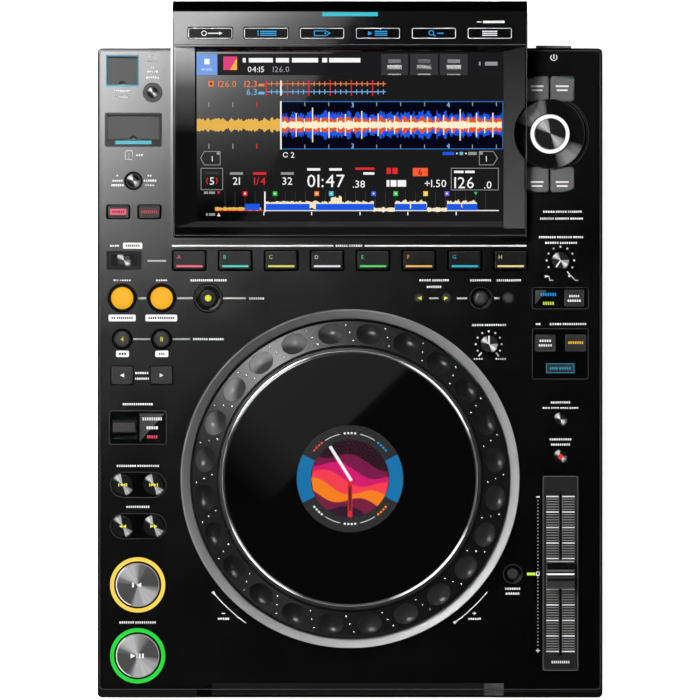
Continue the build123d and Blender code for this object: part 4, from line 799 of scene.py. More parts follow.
SPEED_SPOT = (137.1, 58.4)
ADJUST_SPOT = (90.4, 3.8)
SELECTOR_SPOT = (130.2, 140.6)
RELOOP_SPOT = (-92.4, 33.8)
RESET_SPOT = (106.1, -145.9)
TIME_SPOT = (-141.1, 110.2)
STOP_SPOT = (-128.6, 167.7)
CUE_SPOT = (-138.3, -153)
PLAY_SPOT = (-138.3, -199.2)
DIRECTION_WINDOW_X = -128.85
MODE_WINDOW_X = 129.25
WALL_FOOT = 40
RIM_FOOT = 66.5

DECK = PatchedHairline(
    "deck_brushed_black", grey(0.0005), roughness=0.14, specular=0.1, marks=0.02, depth=0.05,
    patches=(
        # Painted light and shade: lighter and darker bands along the front edge, by place.
        Patch(0, -222, 164.5, 0.9, grey(0.007), above=WALL_FOOT),
        Patch(-131, -224.7, 33.5, 1.8, grey(0.006), above=WALL_FOOT),
        Patch(132, -224.7, 32.5, 1.8, grey(0.0024), above=WALL_FOOT),
        Patch(-1.4, -221, 88.6, 4, grey(0.008), above=WALL_FOOT),
        Patch(-94.9, -221.2, 4.9, 4, grey(0.0006), above=WALL_FOOT),
        Patch(93.6, -221.2, 6.4, 4, grey(0.038), above=WALL_FOOT),
        # Painted shade: near-black bands without shine along the case's side and rear rims.
        Patch(-164.5, -14, 1, 220, grey(0.0004), shine=0, above=RIM_FOOT),
        Patch(164.5, -14, 1, 220, grey(0.0004), shine=0, above=RIM_FOOT),
        Patch(0, 196.7, 164.5, 1.1, grey(0.0004), shine=0, above=RIM_FOOT),
    ),
)
HOOD = Patched(
    "hood_gloss_black", grey(0.0008), roughness=0.05, specular=0.34, marks=0.02, grain=0,
    patches=(
        # Painted shade: a near-black band without shine along the hood's rear rim.
        Patch(0, 223.2, 120, 3.9, grey(0.0004), shine=0),
        # Painted reflections: the side bevels grade from dark to light along their length.
        Patch(-107.2, 155, 6.6, 15, grey(0), far=grey(0.045)),
        Patch(-107.2, 183, 6.6, 13, grey(0.045), far=grey(0.26)),
        Patch(106.8, 137, 6.9, 58, grey(0.03), far=grey(0)),
    ),
)
COVER = Finish("cover_satin_grey", grey(0.031), 0.3, specular=0.03, marks=0.03, grain=0.005)
TRAY = Finish("tray_powder_coat", grey(0.012), 0.5, grain=0.06, marks=0.08)
RUBBER = Finish("foot_rubber", grey(0.018), 0.8, grain=0.05, marks=0.08)
STEEL = Finish("zinc_screw", grey(0.55), 0.32, 1, marks=0.08)
BOARD = Finish("circuit_board", (0.01, 0.11, 0.05), 0.45, marks=0.1)
PANEL = Finish("rear_powder_coat", grey(0.012), 0.5, grain=0.05, marks=0.06)
SOCKET = Finish("socket_black", grey(0.02), 0.42)
# The silver ring's colour carries painted light and shade round its axis.
SILVER = SweptPaintedSheen("ring_silver_painted_sheen", grey(0.37), 0.36, 0.25, specular=0.12, marks=0.01, grain=0.003)
# The platter's dimples carry a painted sheen in their colour.
PLATTER = Dimpled("platter_satin_dark_painted_sheen", grey(0.003), 0.26, specular=0.09, marks=0.02, grain=0.003, lean=0.165)
GLOSS = Finish("plate_gloss_black", grey(0.001), 0.02, marks=0.005, grain=0)
SCREEN_GLASS = Finish("screen_gloss_glass", grey(0.001), 0.03, specular=0.6, marks=0.01, grain=0)
DISPLAY_BED = Finish("display_bed", grey(0.004), 0.2, marks=0.03, grain=0)
KEY_GREY = Finish("key_satin_grey", grey(0.055), 0.34, marks=0.04)
KEY_DARK = Finish("key_satin_dark", grey(0.007), 0.3, specular=0.12, marks=0.04)
PAD = Finish("pad_satin", grey(0.002), 0.3, specular=0.04, marks=0.04, grain=0.02)
POST = Finish("turned_post", grey(0.4), 0.3, 1)
CHROME = Finish("black_chrome", grey(0.2), 0.16, 1, marks=0.03)
WINDOW = Clear("clear_window", grey(0.96), grain=0)
AMBER = Lit("amber_lens", tone(255, 182, 34), glow=0.85, face=0.06, roughness=0.3)
WHITE_LIGHT = Lit("white_light", tone(250, 252, 255), glow=0.95)
YELLOW_LIGHT = Lit("yellow_legend", tone(235, 235, 70), glow=0.9)
BEZEL = thin("bezel_gloss_black", 0.0008, 0.12, 0.02)
INK_WHITE = thin("print_white", 0.5, 0.5, 0.02)
INK_SOFT = thin("print_soft_white", 0.24, 0.5, 0.02)
INK_GREY = thin("print_grey", 0.12, 0.5, 0.02)
INK_BLACK = thin("print_black", 0.002, 0.35, 0.01)
# Painted shadow: near-black lines laid in the gaps round keys and along edges, where shade falls.
GAP_SHADOW = thin("shadow_gap", 0.0003, 0.6, 0)
# Painted highlight: a light line laid along the rims of pads and square keys.
EDGE_HIGHLIGHT = thin("key_edge_painted_highlight", 0.03)
# Painted highlights: light lines, arcs and crescents laid where rims, bevels and caps catch the light.
RIM_HIGHLIGHT_LINE = thin("rim_painted_highlight_line", 0.024)
RIM_HIGHLIGHT_SOFT = thin("rim_painted_highlight_soft", 0.018, 0.25)
RIM_HIGHLIGHT_MID = thin("rim_painted_highlight_mid", 0.06)
RIM_HIGHLIGHT_BRIGHT = thin("rim_painted_highlight_bright", 0.2)
RIM_HIGHLIGHT_WHITE = thin("rim_painted_highlight_white", 0.5)
# Painted reflection: a lighter triangle laid over the clear windows.
WINDOW_SHEEN = Finish("window_sheen", grey(0.03), 0.2, specular=0.03, marks=0.02, grain=0)

SLOT_FINISH: dict[str, Finish] = {
    "body_black": DECK, "tray_black": TRAY, "rubber": RUBBER, "steel": STEEL, "board": BOARD, "panel": PANEL,
    "socket": SOCKET, "silver": SILVER, "platter": PLATTER, "gloss_black": GLOSS, "clear": WINDOW,
    "screen": DISPLAY_BED,
    "light": WHITE_LIGHT, "key_grey": KEY_GREY, "pad": PAD, "amber": AMBER, "transport": CHROME,
    "chrome_key": CHROME, "bezel": BEZEL, "post": POST,
}
NODE_FINISH: dict[str, Finish] = {
    "screen_housing": HOOD,
    "screen_glass": SCREEN_GLASS,
    "usb_cover": COVER,
    "sd_cover": COVER,
    "menu_keys": Finish("menu_key_gloss", grey(0.0015), 0.08, specular=0.03, marks=0.02, grain=0),
    "sync_keys": KEY_DARK,
    "jog_mode_button": KEY_DARK,
}


def dress_nodes(frame: dict[str, object]) -> None:
    """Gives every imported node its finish: its own where it has one, else its slot's."""
    slots = {part["node"]: part["material_slot"] for part in frame["record"]["subparts"]}
    for node, piece in frame["nodes"].items():
        finish = NODE_FINISH.get(node, SLOT_FINISH[slots[node]])
        piece.data.materials.clear()
        piece.data.materials.append(finish.material())
        LOG.info("%s wears %s", node, finish.name)


# ---------------------------------------------------------------- repeats made with Geometry Nodes


class Pattern(Enum):
    """Repeats that the player's pieces share."""

    RING = "ring"
    ROW = "row"
    WAVE = "wave"


@dataclass(frozen=True)
class Repeat:
    """One pattern with its sizes, made as a plain mesh.

    Sizes are in millimetres on the working plane: size is each mark's box, centre the ring's centre or a row's
    first mark, step the row's pitch, and radius the ring's.
    """

    pattern: Pattern
    count: int
    size: Point3
    centre: Point
    finish: Finish
    radius: float = 0.0
    turn: float = 0.0
    step: Point = (0, 0)
    round_mark: bool = False
    seed: int = 0
    lift: float = 0.04

    def tree(self) -> bpy.types.NodeTree:
        """Returns the pattern's tree with its named inputs, built once."""
        name = f"repeat_{self.pattern.value}_{'round' if self.round_mark else 'bar'}"
        if name in bpy.data.node_groups:
            return bpy.data.node_groups[name]
        tree = bpy.data.node_groups.new(name, "GeometryNodeTree")
        sockets = {
            "Count": "Int", "Size": "Vector", "Centre": "Vector", "Step": "Vector", "Radius": "Float",
            "Turn": "Float",
            "Seed": "Int", "Finish": "Material",
        }
        for key, kind in sockets.items():
            tree.interface.new_socket(name=key, in_out="INPUT", socket_type=f"NodeSocket{kind}")
        tree.interface.new_socket(name="Geometry", in_out="OUTPUT", socket_type="NodeSocketGeometry")
        wires = Wiring(tree)
        given = wires.add("NodeGroupInput").outputs
        if self.pattern is Pattern.RING:
            base = wires.add("GeometryNodeMeshCircle", Vertices=given["Count"], Radius=given["Radius"])
            spots = wires.add("GeometryNodeTransform", Geometry=base.outputs[0], Translation=given["Centre"])
            wires.put(spots.inputs["Rotation"], wires.add("ShaderNodeCombineXYZ", Z=given["Turn"]).outputs[0])
        else:
            spots = wires.add(
                "GeometryNodeMeshLine", Count=given["Count"], Start_Location=given["Centre"],
                Offset=given["Step"]
            )
        if self.round_mark:
            mark = wires.add("GeometryNodeMeshUVSphere", Segments=12, Rings=6, Radius=0.5)
        else:
            mark = wires.add("GeometryNodeMeshCube", Size=(1, 1, 1))
        placed = wires.add("GeometryNodeInstanceOnPoints", Points=spots.outputs[0], Instance=mark.outputs[0])
        index = wires.add("GeometryNodeInputIndex").outputs[0]
        if self.pattern is Pattern.RING:
            full = wires.math("DIVIDE", math.tau, given["Count"])
            angle = wires.math("MULTIPLY_ADD", index, full, given["Turn"])
            wires.put(placed.inputs["Rotation"], wires.add("ShaderNodeCombineXYZ", Z=angle).outputs[0])
        size = given["Size"]
        if self.pattern is Pattern.WAVE:
            wide, tall, thick = wires.split(size)
            place = wires.add("GeometryNodeInputPosition").outputs[0]
            kind = {"noise_dimensions": "4D"}
            noise = wires.add("ShaderNodeTexNoise", kind, Vector=place, Scale=620, Detail=2, W=given["Seed"])
            beat = wires.math("MULTIPLY", wires.math("SINE", wires.math("MULTIPLY", index, 0.7854)), 0.12)
            level = wires.math("ADD", wires.spread(noise.outputs[0], 0.3, 0.7, 0.45, 1), beat)
            tall = wires.math("MULTIPLY", tall, level)
            size = wires.add("ShaderNodeCombineXYZ", None, wide, tall, thick).outputs[0]
        wires.put(placed.inputs["Scale"], size)
        real = wires.add("GeometryNodeRealizeInstances", Geometry=placed.outputs[0])
        dressed = wires.add("GeometryNodeSetMaterial", Geometry=real.outputs[0], Material=given["Finish"])
        wires.add("NodeGroupOutput", Geometry=dressed.outputs[0])
        return tree

    def mesh(self) -> bpy.types.Mesh:
        """Returns the pattern as a plain mesh in the working plane, in metres."""
        holder = bpy.data.objects.new("repeat", bpy.data.meshes.new("repeat"))
        bpy.context.scene.collection.objects.link(holder)
        pattern = holder.modifiers.new("repeat", "NODES")
        pattern.node_group = self.tree()
        lift = self.lift + self.size[2] / 2
        values = {
            "Count": self.count, "Size": [s * MM for s in self.size],
            "Centre": [s * MM for s in (*self.centre, lift)], "Step": [s * MM for s in (*self.step, 0)],
            "Radius": self.radius * MM, "Turn": math.radians(self.turn),
            "Seed": self.seed, "Finish": self.finish.material(),
        }
        for socket in pattern.node_group.interface.items_tree:
            if socket.name in values:
                pattern[socket.identifier] = values[socket.name]
        seen = holder.evaluated_get(bpy.context.evaluated_depsgraph_get())
        made = bpy.data.meshes.new_from_object(seen)
        holder.modifiers.remove(pattern)
        bpy.data.objects.remove(holder)
        return made


def repeats(name: str, plane: Plane2, patterns: Sequence[Repeat], body: str, slot: str) -> bpy.types.Object:
    """Makes one object of several repeats on a working plane.

    Args:
        name: The object's name.
        plane: The working plane.
        patterns: The repeats.
        body: The body that it rides on.
        slot: The record's material slot; passed on, but not used.

    Returns:
        The finished object.
    """
    draft = Draft(name)
    for pattern in patterns:
        mesh = pattern.mesh()
        spots = [plane.at(*(v.co / MM)) for v in mesh.vertices]
        for polygon in mesh.polygons:
            draft.face([spots[i] for i in polygon.vertices], pattern.finish)
        bpy.data.meshes.remove(mesh)
    return draft.make(body, slot)


# ---------------------------------------------------------------- jog wheel


def lathe(
    draft: Draft, profile: Sequence[Point], centre: Point, finish: Finish, sides: int = 128, closed: bool = True
) -> None:
    """Turns a section of radius and height about a vertical axis.

    Args:
        draft: The draft that takes the faces.
        profile: The section's points, with its outside on the left as it runs.
        centre: The axis in plan.
        finish: Its finish.
        sides: Steps round the axis.
        closed: Whether the section's last point joins its first.
    """
    count = len(profile)
    for i in range(count if closed else count - 1):
        (r0, z0), (r1, z1) = profile[i], profile[(i + 1) % count]
        for k in range(sides):
            a, b = 360 * k / sides, 360 * (k + 1) / sides
            ring = []
            for radius, z, turn in ((r0, z0, a), (r0, z0, b), (r1, z1, b), (r1, z1, a)):
                point = Vector((*polar(*centre, radius, turn), z)) * MM
                if not ring or (point - ring[-1]).length > 1e-7:
                    ring.append(point)
            if (ring[0] - ring[-1]).length < 1e-7:
                ring.pop()
            if len(ring) > 2:
                draft.face(ring, finish)


@dataclass(frozen=True)
class PaintedGlintRing(Wheeled):
    """A dark turned ring whose inner cut edge carries four painted glints, dark between them."""

    edge: float = 83.2
    lobes: float = 4.0
    heading: float = 0.75

    def paint(self, wires: Wiring, skin: Node) -> None:
        """Wires the cut inside the edge radius, with its painted glints, over the dark ring."""
        x, y, _ = wires.split(self.away(wires))
        cut = wires.spread(wires.radius(x, y), (self.edge + 0.06) * MM, (self.edge - 0.06) * MM, 0, 1)
        painted_glint = wires.spread(wires.facing(x, y, self.heading, self.lobes), -0.2, 0.7, 0.05, 0.95)
        bright = wires.mix(painted_glint, grey(0.03), grey(0.95))
        wires.put(skin.inputs["Base Color"], wires.mix(cut, self.colour, bright))
        wires.put(skin.inputs["Roughness"], wires.spread(cut, 0, 1, self.roughness, 0.35))


def dial(name: str, red: float, green: float, blue: float) -> Lit:
    """Returns a lit colour of the round display."""
    return Lit(f"dial_{name}", tone(red, green, blue), glow=1)


@dataclass
class JogWheel:
    """The wheel's gloss plate and window, its grip dots, and the round display inside."""

    plate_radius: float = 81.75
    window_radius: float = 34.9
    window_gap: float = 0.02
    edge_cut: float = 0.5
    plate_top: float = 80.2
    plate_foot: float = 78.2
    display_top: float = 74.0
    picture_radius: float = 25.2
    band_radius: float = 30.1
    mark_radius: float = 29.6
    dot_circle: float = 94.9
    dot_pitch: float = 5.1
    dot_size: float = 1.5
    dot_slant: float = 1.5
    dot_height: float = 0.5
    dot_lift: float = -0.55
    platter_top: float = 78.0
    ring_top: float = 72.9
    ring_radius: float = 109.7
    count: int = 24

    def plate(self) -> None:
        """Turns the gloss plate round its clear window."""
        draft = Draft("jog_gloss_plate")
        top, foot, out, inner = self.plate_top, self.plate_foot, self.plate_radius, self.window_radius
        rim, pane = self.edge_cut, inner - self.window_gap
        ring = [(out, foot), (out, top - rim), (out - rim, top), (inner, top), (inner, foot)]
        lathe(draft, ring, (0, JOG_Y), GLOSS)
        lathe(draft, [(0, foot), (pane, foot), (pane, top), (0, top)], (0, JOG_Y), WINDOW, closed=False)
        draft.make("jog_wheel", "clear", ["jog_top_plate"])

    def dots(self) -> None:
        """Sets three small domes between each two finger dimples."""
        plane = Plane2((0, 0, self.platter_top))
        size = (self.dot_size, self.dot_size, self.dot_height)
        rows = [
            Repeat(
                Pattern.RING, self.count, size, (0, JOG_Y), CHROME, radius=self.dot_circle + i * self.dot_pitch,
                turn=i * self.dot_slant, round_mark=True, lift=self.dot_lift,
            )
            for i in (-1, 0, 1)
        ]
        repeats("jog_grip_dots", plane, rows, "jog_wheel", "platter")

    def edge(self) -> None:
        """Draws a painted highlight line on the outer ring's rim, from its rear round to the left."""
        art = Art("jog_ring_edge_painted_highlight", Plane2((0, JOG_Y, self.ring_top)), 0.03)
        art.arc(0, 0, self.ring_radius, 0.45, 70, 245, RIM_HIGHLIGHT_BRIGHT)
        art.make("case", "silver")

    def display(self) -> None:
        """Draws the round display: mode ring, side lights, a plain picture and the two hands."""
        art = Art("jog_display_picture", Plane2((0, JOG_Y, self.display_top)), 0.05)
        ring = Lit("dial_ring_grey", tone(44, 44, 45), glow=0.9)
        blue = Lit("dial_blue", tone(8, 118, 178), glow=0.95)
        white, orange = dial("white", 245, 245, 245), dial("orange", 250, 140, 30)
        red, cyan = dial("red", 225, 40, 35), dial("cyan", 20, 150, 205)
        coral, maroon = dial("coral", 235, 75, 50), dial("maroon", 95, 30, 30)
        art.arc(0, 0, self.band_radius, 9.2, 0, 360, ring)
        for side in (0, 180):
            art.arc(0, 0, self.band_radius, 8.8, side - 27, side + 27, blue, 0.02)
        for side in (67, 113, 247, 293):
            art.arc(0, 0, self.mark_radius, 0.35, side - 10, side + 10, white, 0.03)
        for turn, finish in ((90, white), (270, white), (135, coral), (45, cyan), (225, white), (315, orange)):
            for i in (-1.5, -0.5, 0.5, 1.5):
                art.disc(*polar(0, 0, self.mark_radius, turn + i * 4.4), 0.75, finish, 10, 0.03)
        self.picture(art)
        art.line((0.9, -1.4), (-13, 21), 2, white, 0.12)
        art.line((0, -1), (0, -25), 2.9, red, 0.09)
        art.line((0, -5), (0, -21), 1.9, maroon, 0.1)
        art.make("case", "screen")

    def picture(self, art: Art) -> None:
        """Draws a plain disc of overlapping waves in warm colours.

        Args:
            art: The display's sheet.
        """
        radius, steps = self.picture_radius, 40
        shades = (
            (40, 4, 24), (120, 12, 70), (215, 14, 110), (250, 60, 80), (252, 130, 20), (120, 20, 60),
            (45, 10, 40),
        )
        art.disc(0, 0, radius, dial("wave_0", *shades[0]), 48, 0.01)
        for k in range(1, len(shades)):
            level = radius * (0.78 - 0.27 * k)
            finish = dial(f"wave_{k}", *shades[k])
            top = []
            for i in range(steps + 1):
                x = -radius + 2 * radius * i / steps
                y = level + 3.2 * math.sin(x * 0.16 + k * 1.3) - 0.22 * x
                reach = math.sqrt(max(radius * radius - x * x, 0))
                top.append((x, max(min(y, reach), -reach)))
            for (x0, y0), (x1, y1) in zip(top, top[1:]):
                low0, low1 = (-math.sqrt(max(radius * radius - x * x, 0)) for x in (x0, x1))
                if y0 - low0 > 0.02 or y1 - low1 > 0.02:
                    art.poly(
                        [(x0, low0), (x1, low1), (x1, y1 + 0.001), (x0, y0 + 0.001)], finish, 0.01 + 0.008 * k
                    )

    def build(self) -> None:
        """Builds the wheel's plate, dots and display."""
        self.plate()
        self.dots()
        self.edge()
        self.display()


# ---------------------------------------------------------------- hood: screen picture and key strip

HOOD_TILT = math.radians(14)
HOOD_CENTRE = (137.5, 97.43)


def hood_plane(above: float, up: float = 0.0) -> Plane2:
    """Returns the plane that far above the hood's slope, with its origin that far up from the screen."""
    c, s = math.cos(HOOD_TILT), math.sin(HOOD_TILT)
    return Plane2(
        (0, HOOD_CENTRE[0] - above * s + up * c, HOOD_CENTRE[1] + above * c + up * s), (1, 0, 0), (0, c, s)
    )


def glow(name: str, red: float, green: float, blue: float, level: float = 1.0) -> Lit:
    """Returns a lit screen colour."""
    return Lit(f"screen_{name}", tone(red, green, blue), glow=level, roughness=0.04, grain=0)


@dataclass
class ScreenPicture:
    """The picture on the touch screen, laid out in its own dots from the upper left."""

    across: int = 305
    down: int = 167
    width: float = 199.0
    length: float = 112.9
    sink: float = 4.0
    shift: float = -1.2
    white: Lit = glow("white", 245, 245, 245)
    grey: Lit = glow("grey", 150, 150, 152)
    dim: Lit = glow("dim", 58, 58, 60)
    red: Lit = glow("red", 225, 45, 50)
    orange: Lit = glow("orange", 240, 130, 75)
    sky: Lit = glow("sky", 115, 180, 235)
    blue: Lit = glow("blue", 28, 88, 225)
    amber: Lit = glow("amber", 238, 186, 80)
    cream: Lit = glow("cream", 255, 238, 205)
    rust: Lit = glow("rust", 225, 88, 30)

    def __post_init__(self) -> None:
        """Works out the size of a dot and starts the sheet."""
        self.dot_x, self.dot_y = self.width / (self.across + 0.4), self.length / (self.down + 0.4)
        self.plane = hood_plane(-self.sink, self.shift)
        self.art = Art("screen_picture", self.plane, 0.04)

    def spot(self, column: float, row: float) -> Point:
        """Returns the place on the screen of a column and a row."""
        return ((column - (self.across + 0.4) / 2) * self.dot_x, ((self.down + 0.4) / 2 - row) * self.dot_y)

    def box(
        self, left: float, top: float, right: float, bottom: float, finish: Finish, over: float = 0.01
    ) -> None:
        """Fills a box between two columns and two rows."""
        (x0, y0), (x1, y1) = self.spot(left, top), self.spot(right, bottom)
        self.art.rect(x0, y0, x1, y1, finish, over)

    def outline(
        self, left: float, top: float, right: float, bottom: float, finish: Finish, width: float = 0.5
    ) -> None:
        """Draws a box's outline."""
        (x0, y0), (x1, y1) = self.spot(left, top), self.spot(right, bottom)
        self.art.frame(x0, y1, x1, y0, width, finish, over=0.02)

    def number(
        self, text: str, column: float, row: float, rows: float, finish: Finish, anchor: float = 0.5
    ) -> None:
        """Writes numerals that tall about a row."""
        x, y = self.spot(column, row)
        self.art.sign(text, x, y, rows * self.dot_y, finish, anchor, 0.03)

    def strip(self, row: float, columns: Sequence[tuple[float, float]], rows: float, finish: Finish) -> None:
        """Draws short bars between pairs of columns, in place of words."""
        for left, right in columns:
            self.box(left, row - rows / 2, right, row + rows / 2, finish, 0.02)

    def header(self) -> None:
        """Draws the top row: source, cover, title bars and soft keys."""
        self.box(0, 0, 305.4, 21.2, glow("header", 27, 27, 29))
        self.box(0, 0.2, 20.7, 21, glow("source", 112, 158, 230), 0.02)
        self.box(7.7, 5, 13, 10.5, self.white, 0.03)
        self.strip(15.5, [(5, 8), (9, 15.5)], 2.2, self.white)
        self.box(26.7, 2.7, 40.3, 16, glow("cover_pink", 222, 60, 120), 0.02)
        (x0, y0), (x1, y1) = self.spot(33, 16), self.spot(40.3, 4)
        self.art.poly([(x0, y0), (x1, y0), (x1, y1)], glow("cover_gold", 248, 175, 70), 0.04)
        self.strip(6.4, [(46, 49), (52, 76), (79, 92), (95, 121), (125, 130), (132, 163)], 4.4, self.white)
        self.number("04:15", 51, 15.3, 5.6, self.white, 0)
        self.number("126.0", 76, 15.3, 5.6, self.grey, 0)
        for left, right in ((183.7, 210.2), (212.7, 240.1), (242.2, 269.7)):
            self.box(left, 0.2, right, 21, glow("soft_key", 54, 54, 56), 0.02)
            middle = (left + right) / 2
            self.strip(7.3, [(middle - 6.2, middle + 6.2)], 3.6, self.grey)
            self.strip(13.2, [(middle - 7.2, middle + 7.2)], 4, self.white)
            self.strip(20.3, [(middle - 6.5, middle + 6.5)], 1.2, self.white)
        self.strip(9.8, [(281, 282.6), (287, 299.5)], 3.8, self.grey)

    def beats(self) -> None:
        """Draws the two beat counts with their ruled lines."""
        rows = ((29.7, self.orange, "126.0"), (37.6, self.sky, None))
        for row, finish, tempo in rows:
            self.strip(row, [(69.3, 188.3)], 0.8, finish)
            self.number("12.3" if tempo else "6.3", 60, row, 6.2, finish, 1)
            self.strip(row + 1.2, [(61.5, 67.5)], 2.6, finish)
        self.box(11.7, 26.9, 17, 32.3, self.orange)
        self.box(13.3, 28.4, 15.4, 30.8, glow("black", 4, 4, 4), 0.03)
        self.number("126.0", 21.5, 29.7, 6.2, self.orange, 0)

    def wave(self) -> None:
        """Draws the big wave's box, marks and cursor."""
        self.box(84, 47.4, 305, 93.7, glow("wave_bed", 2, 4, 22))
        self.outline(84, 47.2, 305, 93.9, glow("wave_edge", 50, 120, 195))
        for row in (50.2, 91.2):
            for column, finish in ((12.1, self.grey), (36, self.grey), (59.8, self.red)):
                self.box(column - 0.5, row - 2.4, column + 0.5, row + 2.4, finish)
        for column in (155.3, 250.6):
            for row in (50.4, 90.8):
                self.number("3" if column < 200 else "4", column, row, 4.8, self.sky)
        self.box(83.1, 26.3, 84.6, 41.2, self.white, 0.12)
        self.box(83.1, 46.7, 84.6, 94.4, self.white, 0.12)

    def tags(self) -> None:
        """Draws the memory tags, the loop mark and the zoom marks under the wave."""
        for left, right, tip in ((7.4, 23.2, 3.7), (281.7, 295.6, 299.7)):
            corners = [self.spot(c, r) for c, r in ((left, 96.4), (right, 96.4), (right, 109.7), (left, 109.7))]
            point = self.spot(tip, 103)
            first, low_right, low_left = corners[0], corners[2], corners[3]
            outline = [first, low_left, low_right, point, corners[1]]
            if tip < left:
                outline = [first, point, low_left, low_right, corners[1]]
            self.art.path(outline, 0.42, self.grey, True, 0.02)
            self.number("1", (left + right) / 2, 103.6, 5.4, self.white)
            corner = right - 3.4 if tip < left else left + 0.4
            self.box(corner, 96.8, corner + 3, 99.6, self.grey, 0.03)
        x, y = self.spot(88.5, 99.8)
        self.art.arc(x, y, 1.5, 0.5, 20, 330, self.white, 0.02)
        self.number("2", 95.5, 99.8, 5.6, self.white)
        self.strip(98.4, [(245, 256.5)], 3.2, self.blue)
        self.strip(98.4, [(258.5, 260), (267.5, 269)], 1.4, self.white)
        self.strip(98.4, [(262, 265.5)], 3, self.sky)
        self.strip(98.4, [(270.5, 279)], 3, self.grey)

    def facts(self) -> None:
        """Draws the row of numbers: deck, track, beats, time, pitch and tempo."""
        self.outline(4.1, 113, 25.7, 134.2, self.grey, 0.4)
        self.strip(117.6, [(8, 21.8)], 2.2, self.dim)
        self.number("5", 15, 125.6, 7.4, self.white)
        for side in (-1, 1):
            x, y = self.spot(15, 125.6)
            self.art.arc(x, y, 3.4, 0.5, 90 - side * 90 - 40, 90 - side * 90 + 40, self.red, 0.02)
        for column, text, finish in (
            (39.4, "21", self.white), (62.7, "1/4", self.red), (90.2, "32", self.white)
        ):
            self.strip(
                118.2, [(column - 6.5, column + 6.5)], 2.4, self.grey if finish is self.white else finish
            )
            self.number(text, column, 125.6, 7.4, finish)
        self.strip(114.2, [(110, 123), (132, 144.5)], 2.4, self.white)
        self.number("01:47", 110, 125.4, 12.6, self.white, 0)
        self.number(".38", 155.5, 128.6, 7.2, self.white, 0)
        self.strip(113.4, [(158, 177)], 2.2, self.red)
        self.strip(118.2, [(166, 177)], 2.4, self.white)
        self.strip(115.6, [(189.2, 193.4), (195, 200.2)], 6, self.red)
        self.strip(128, [(189.2, 192), (193.2, 199), (200.2, 208.7)], 6.4, self.white)
        self.box(215.4, 112.7, 230.3, 120.9, glow("range_box", 250, 92, 52))
        self.number("6", 222.8, 116.8, 6, glow("black", 4, 4, 4))
        self.number("+1.50", 248.7, 128, 7.4, self.white, 1)
        self.outline(253.7, 113, 300.7, 134.5, self.grey, 0.4)
        self.strip(116.6, [(256.5, 266), (267.5, 277)], 2.4, self.white)
        self.number("126", 256.8, 127.2, 11.2, self.white, 0)
        self.number(".0", 286.5, 129.4, 7.4, self.white, 0)

    def overview(self) -> None:
        """Draws the whole track's small wave with its coloured marks."""
        for left, right in (
            (47.7, 62.7), (68.7, 112.4), (118.7, 176.3), (197.7, 212.4), (213.7, 229), (249.7, 263.7),
            (264.7, 279.7)
        ):
            self.box(left, 148.2, right, 154.5, self.blue, 0.3)
        self.strip(154.9, [(18.2, 66.7)], 0.9, self.red)
        self.strip(154.9, [(66.7, 301.1)], 1, self.white)
        marks = (
            (48, (228, 35, 60)), (77.9, (35, 190, 65)), (119.5, (250, 122, 45)), (134, (60, 190, 215)),
            (176.2, (60, 95, 235)),
            (198.3, (50, 200, 80)), (228.1, (240, 205, 70)), (249.4, (112, 96, 222)),
        )
        for column, colour in marks:
            self.box(column - 2.3, 135.7, column + 2.3, 140.4, glow(f"mark_{int(column)}", *colour), 0.32)
            self.box(column - 0.8, 137.2, column + 0.8, 138.8, self.white, 0.33)
        for column, row, turn, finish in (
            (21.7, 137.4, -90, self.red), (21.7, 158.8, 90, self.cream),
            (278.2, 138, -90, glow("go", 60, 200, 70))
        ):
            x, y = self.spot(column, row)
            self.art.arrow(x, y, 2.2, turn, finish, 0.3)
        self.strip(137.2, [(7, 11), (12, 18)], 2.4, self.grey)
        self.strip(158.8, [(9, 11), (12, 18)], 2.4, self.grey)
        self.box(67.1, 136, 68.5, 156.2, self.white, 0.35)
        for column in (66.7, 114.4, 162.7, 210.4, 258.7):
            self.box(column - 0.5, 156.2, column + 0.5, 159.6, self.white)

    def row(
        self, finish: Finish, left: float, step: float, count: int, row: float, wide: float, rows: float,
        lift: float, wave: int = -1
    ) -> Repeat:
        """Returns a row of upright bars of the picture.

        Args:
            finish: The bars' colour.
            left: The first bar's column.
            step: The pitch, in columns.
            count: How many bars.
            row: The row of the bars' middle.
            wide: A bar's width, in columns.
            rows: A bar's height, in rows.
            lift: The bars' lift above the glass.
            wave: The seed of their uneven heights, or -1 for even bars.
        """
        size = (wide * self.dot_x, rows * self.dot_y, 0.01)
        kind = Pattern.ROW if wave < 0 else Pattern.WAVE
        return Repeat(
            kind, count, size, self.spot(left, row), finish, step=(step * self.dot_x, 0), seed=max(wave, 0),
            lift=lift
        )

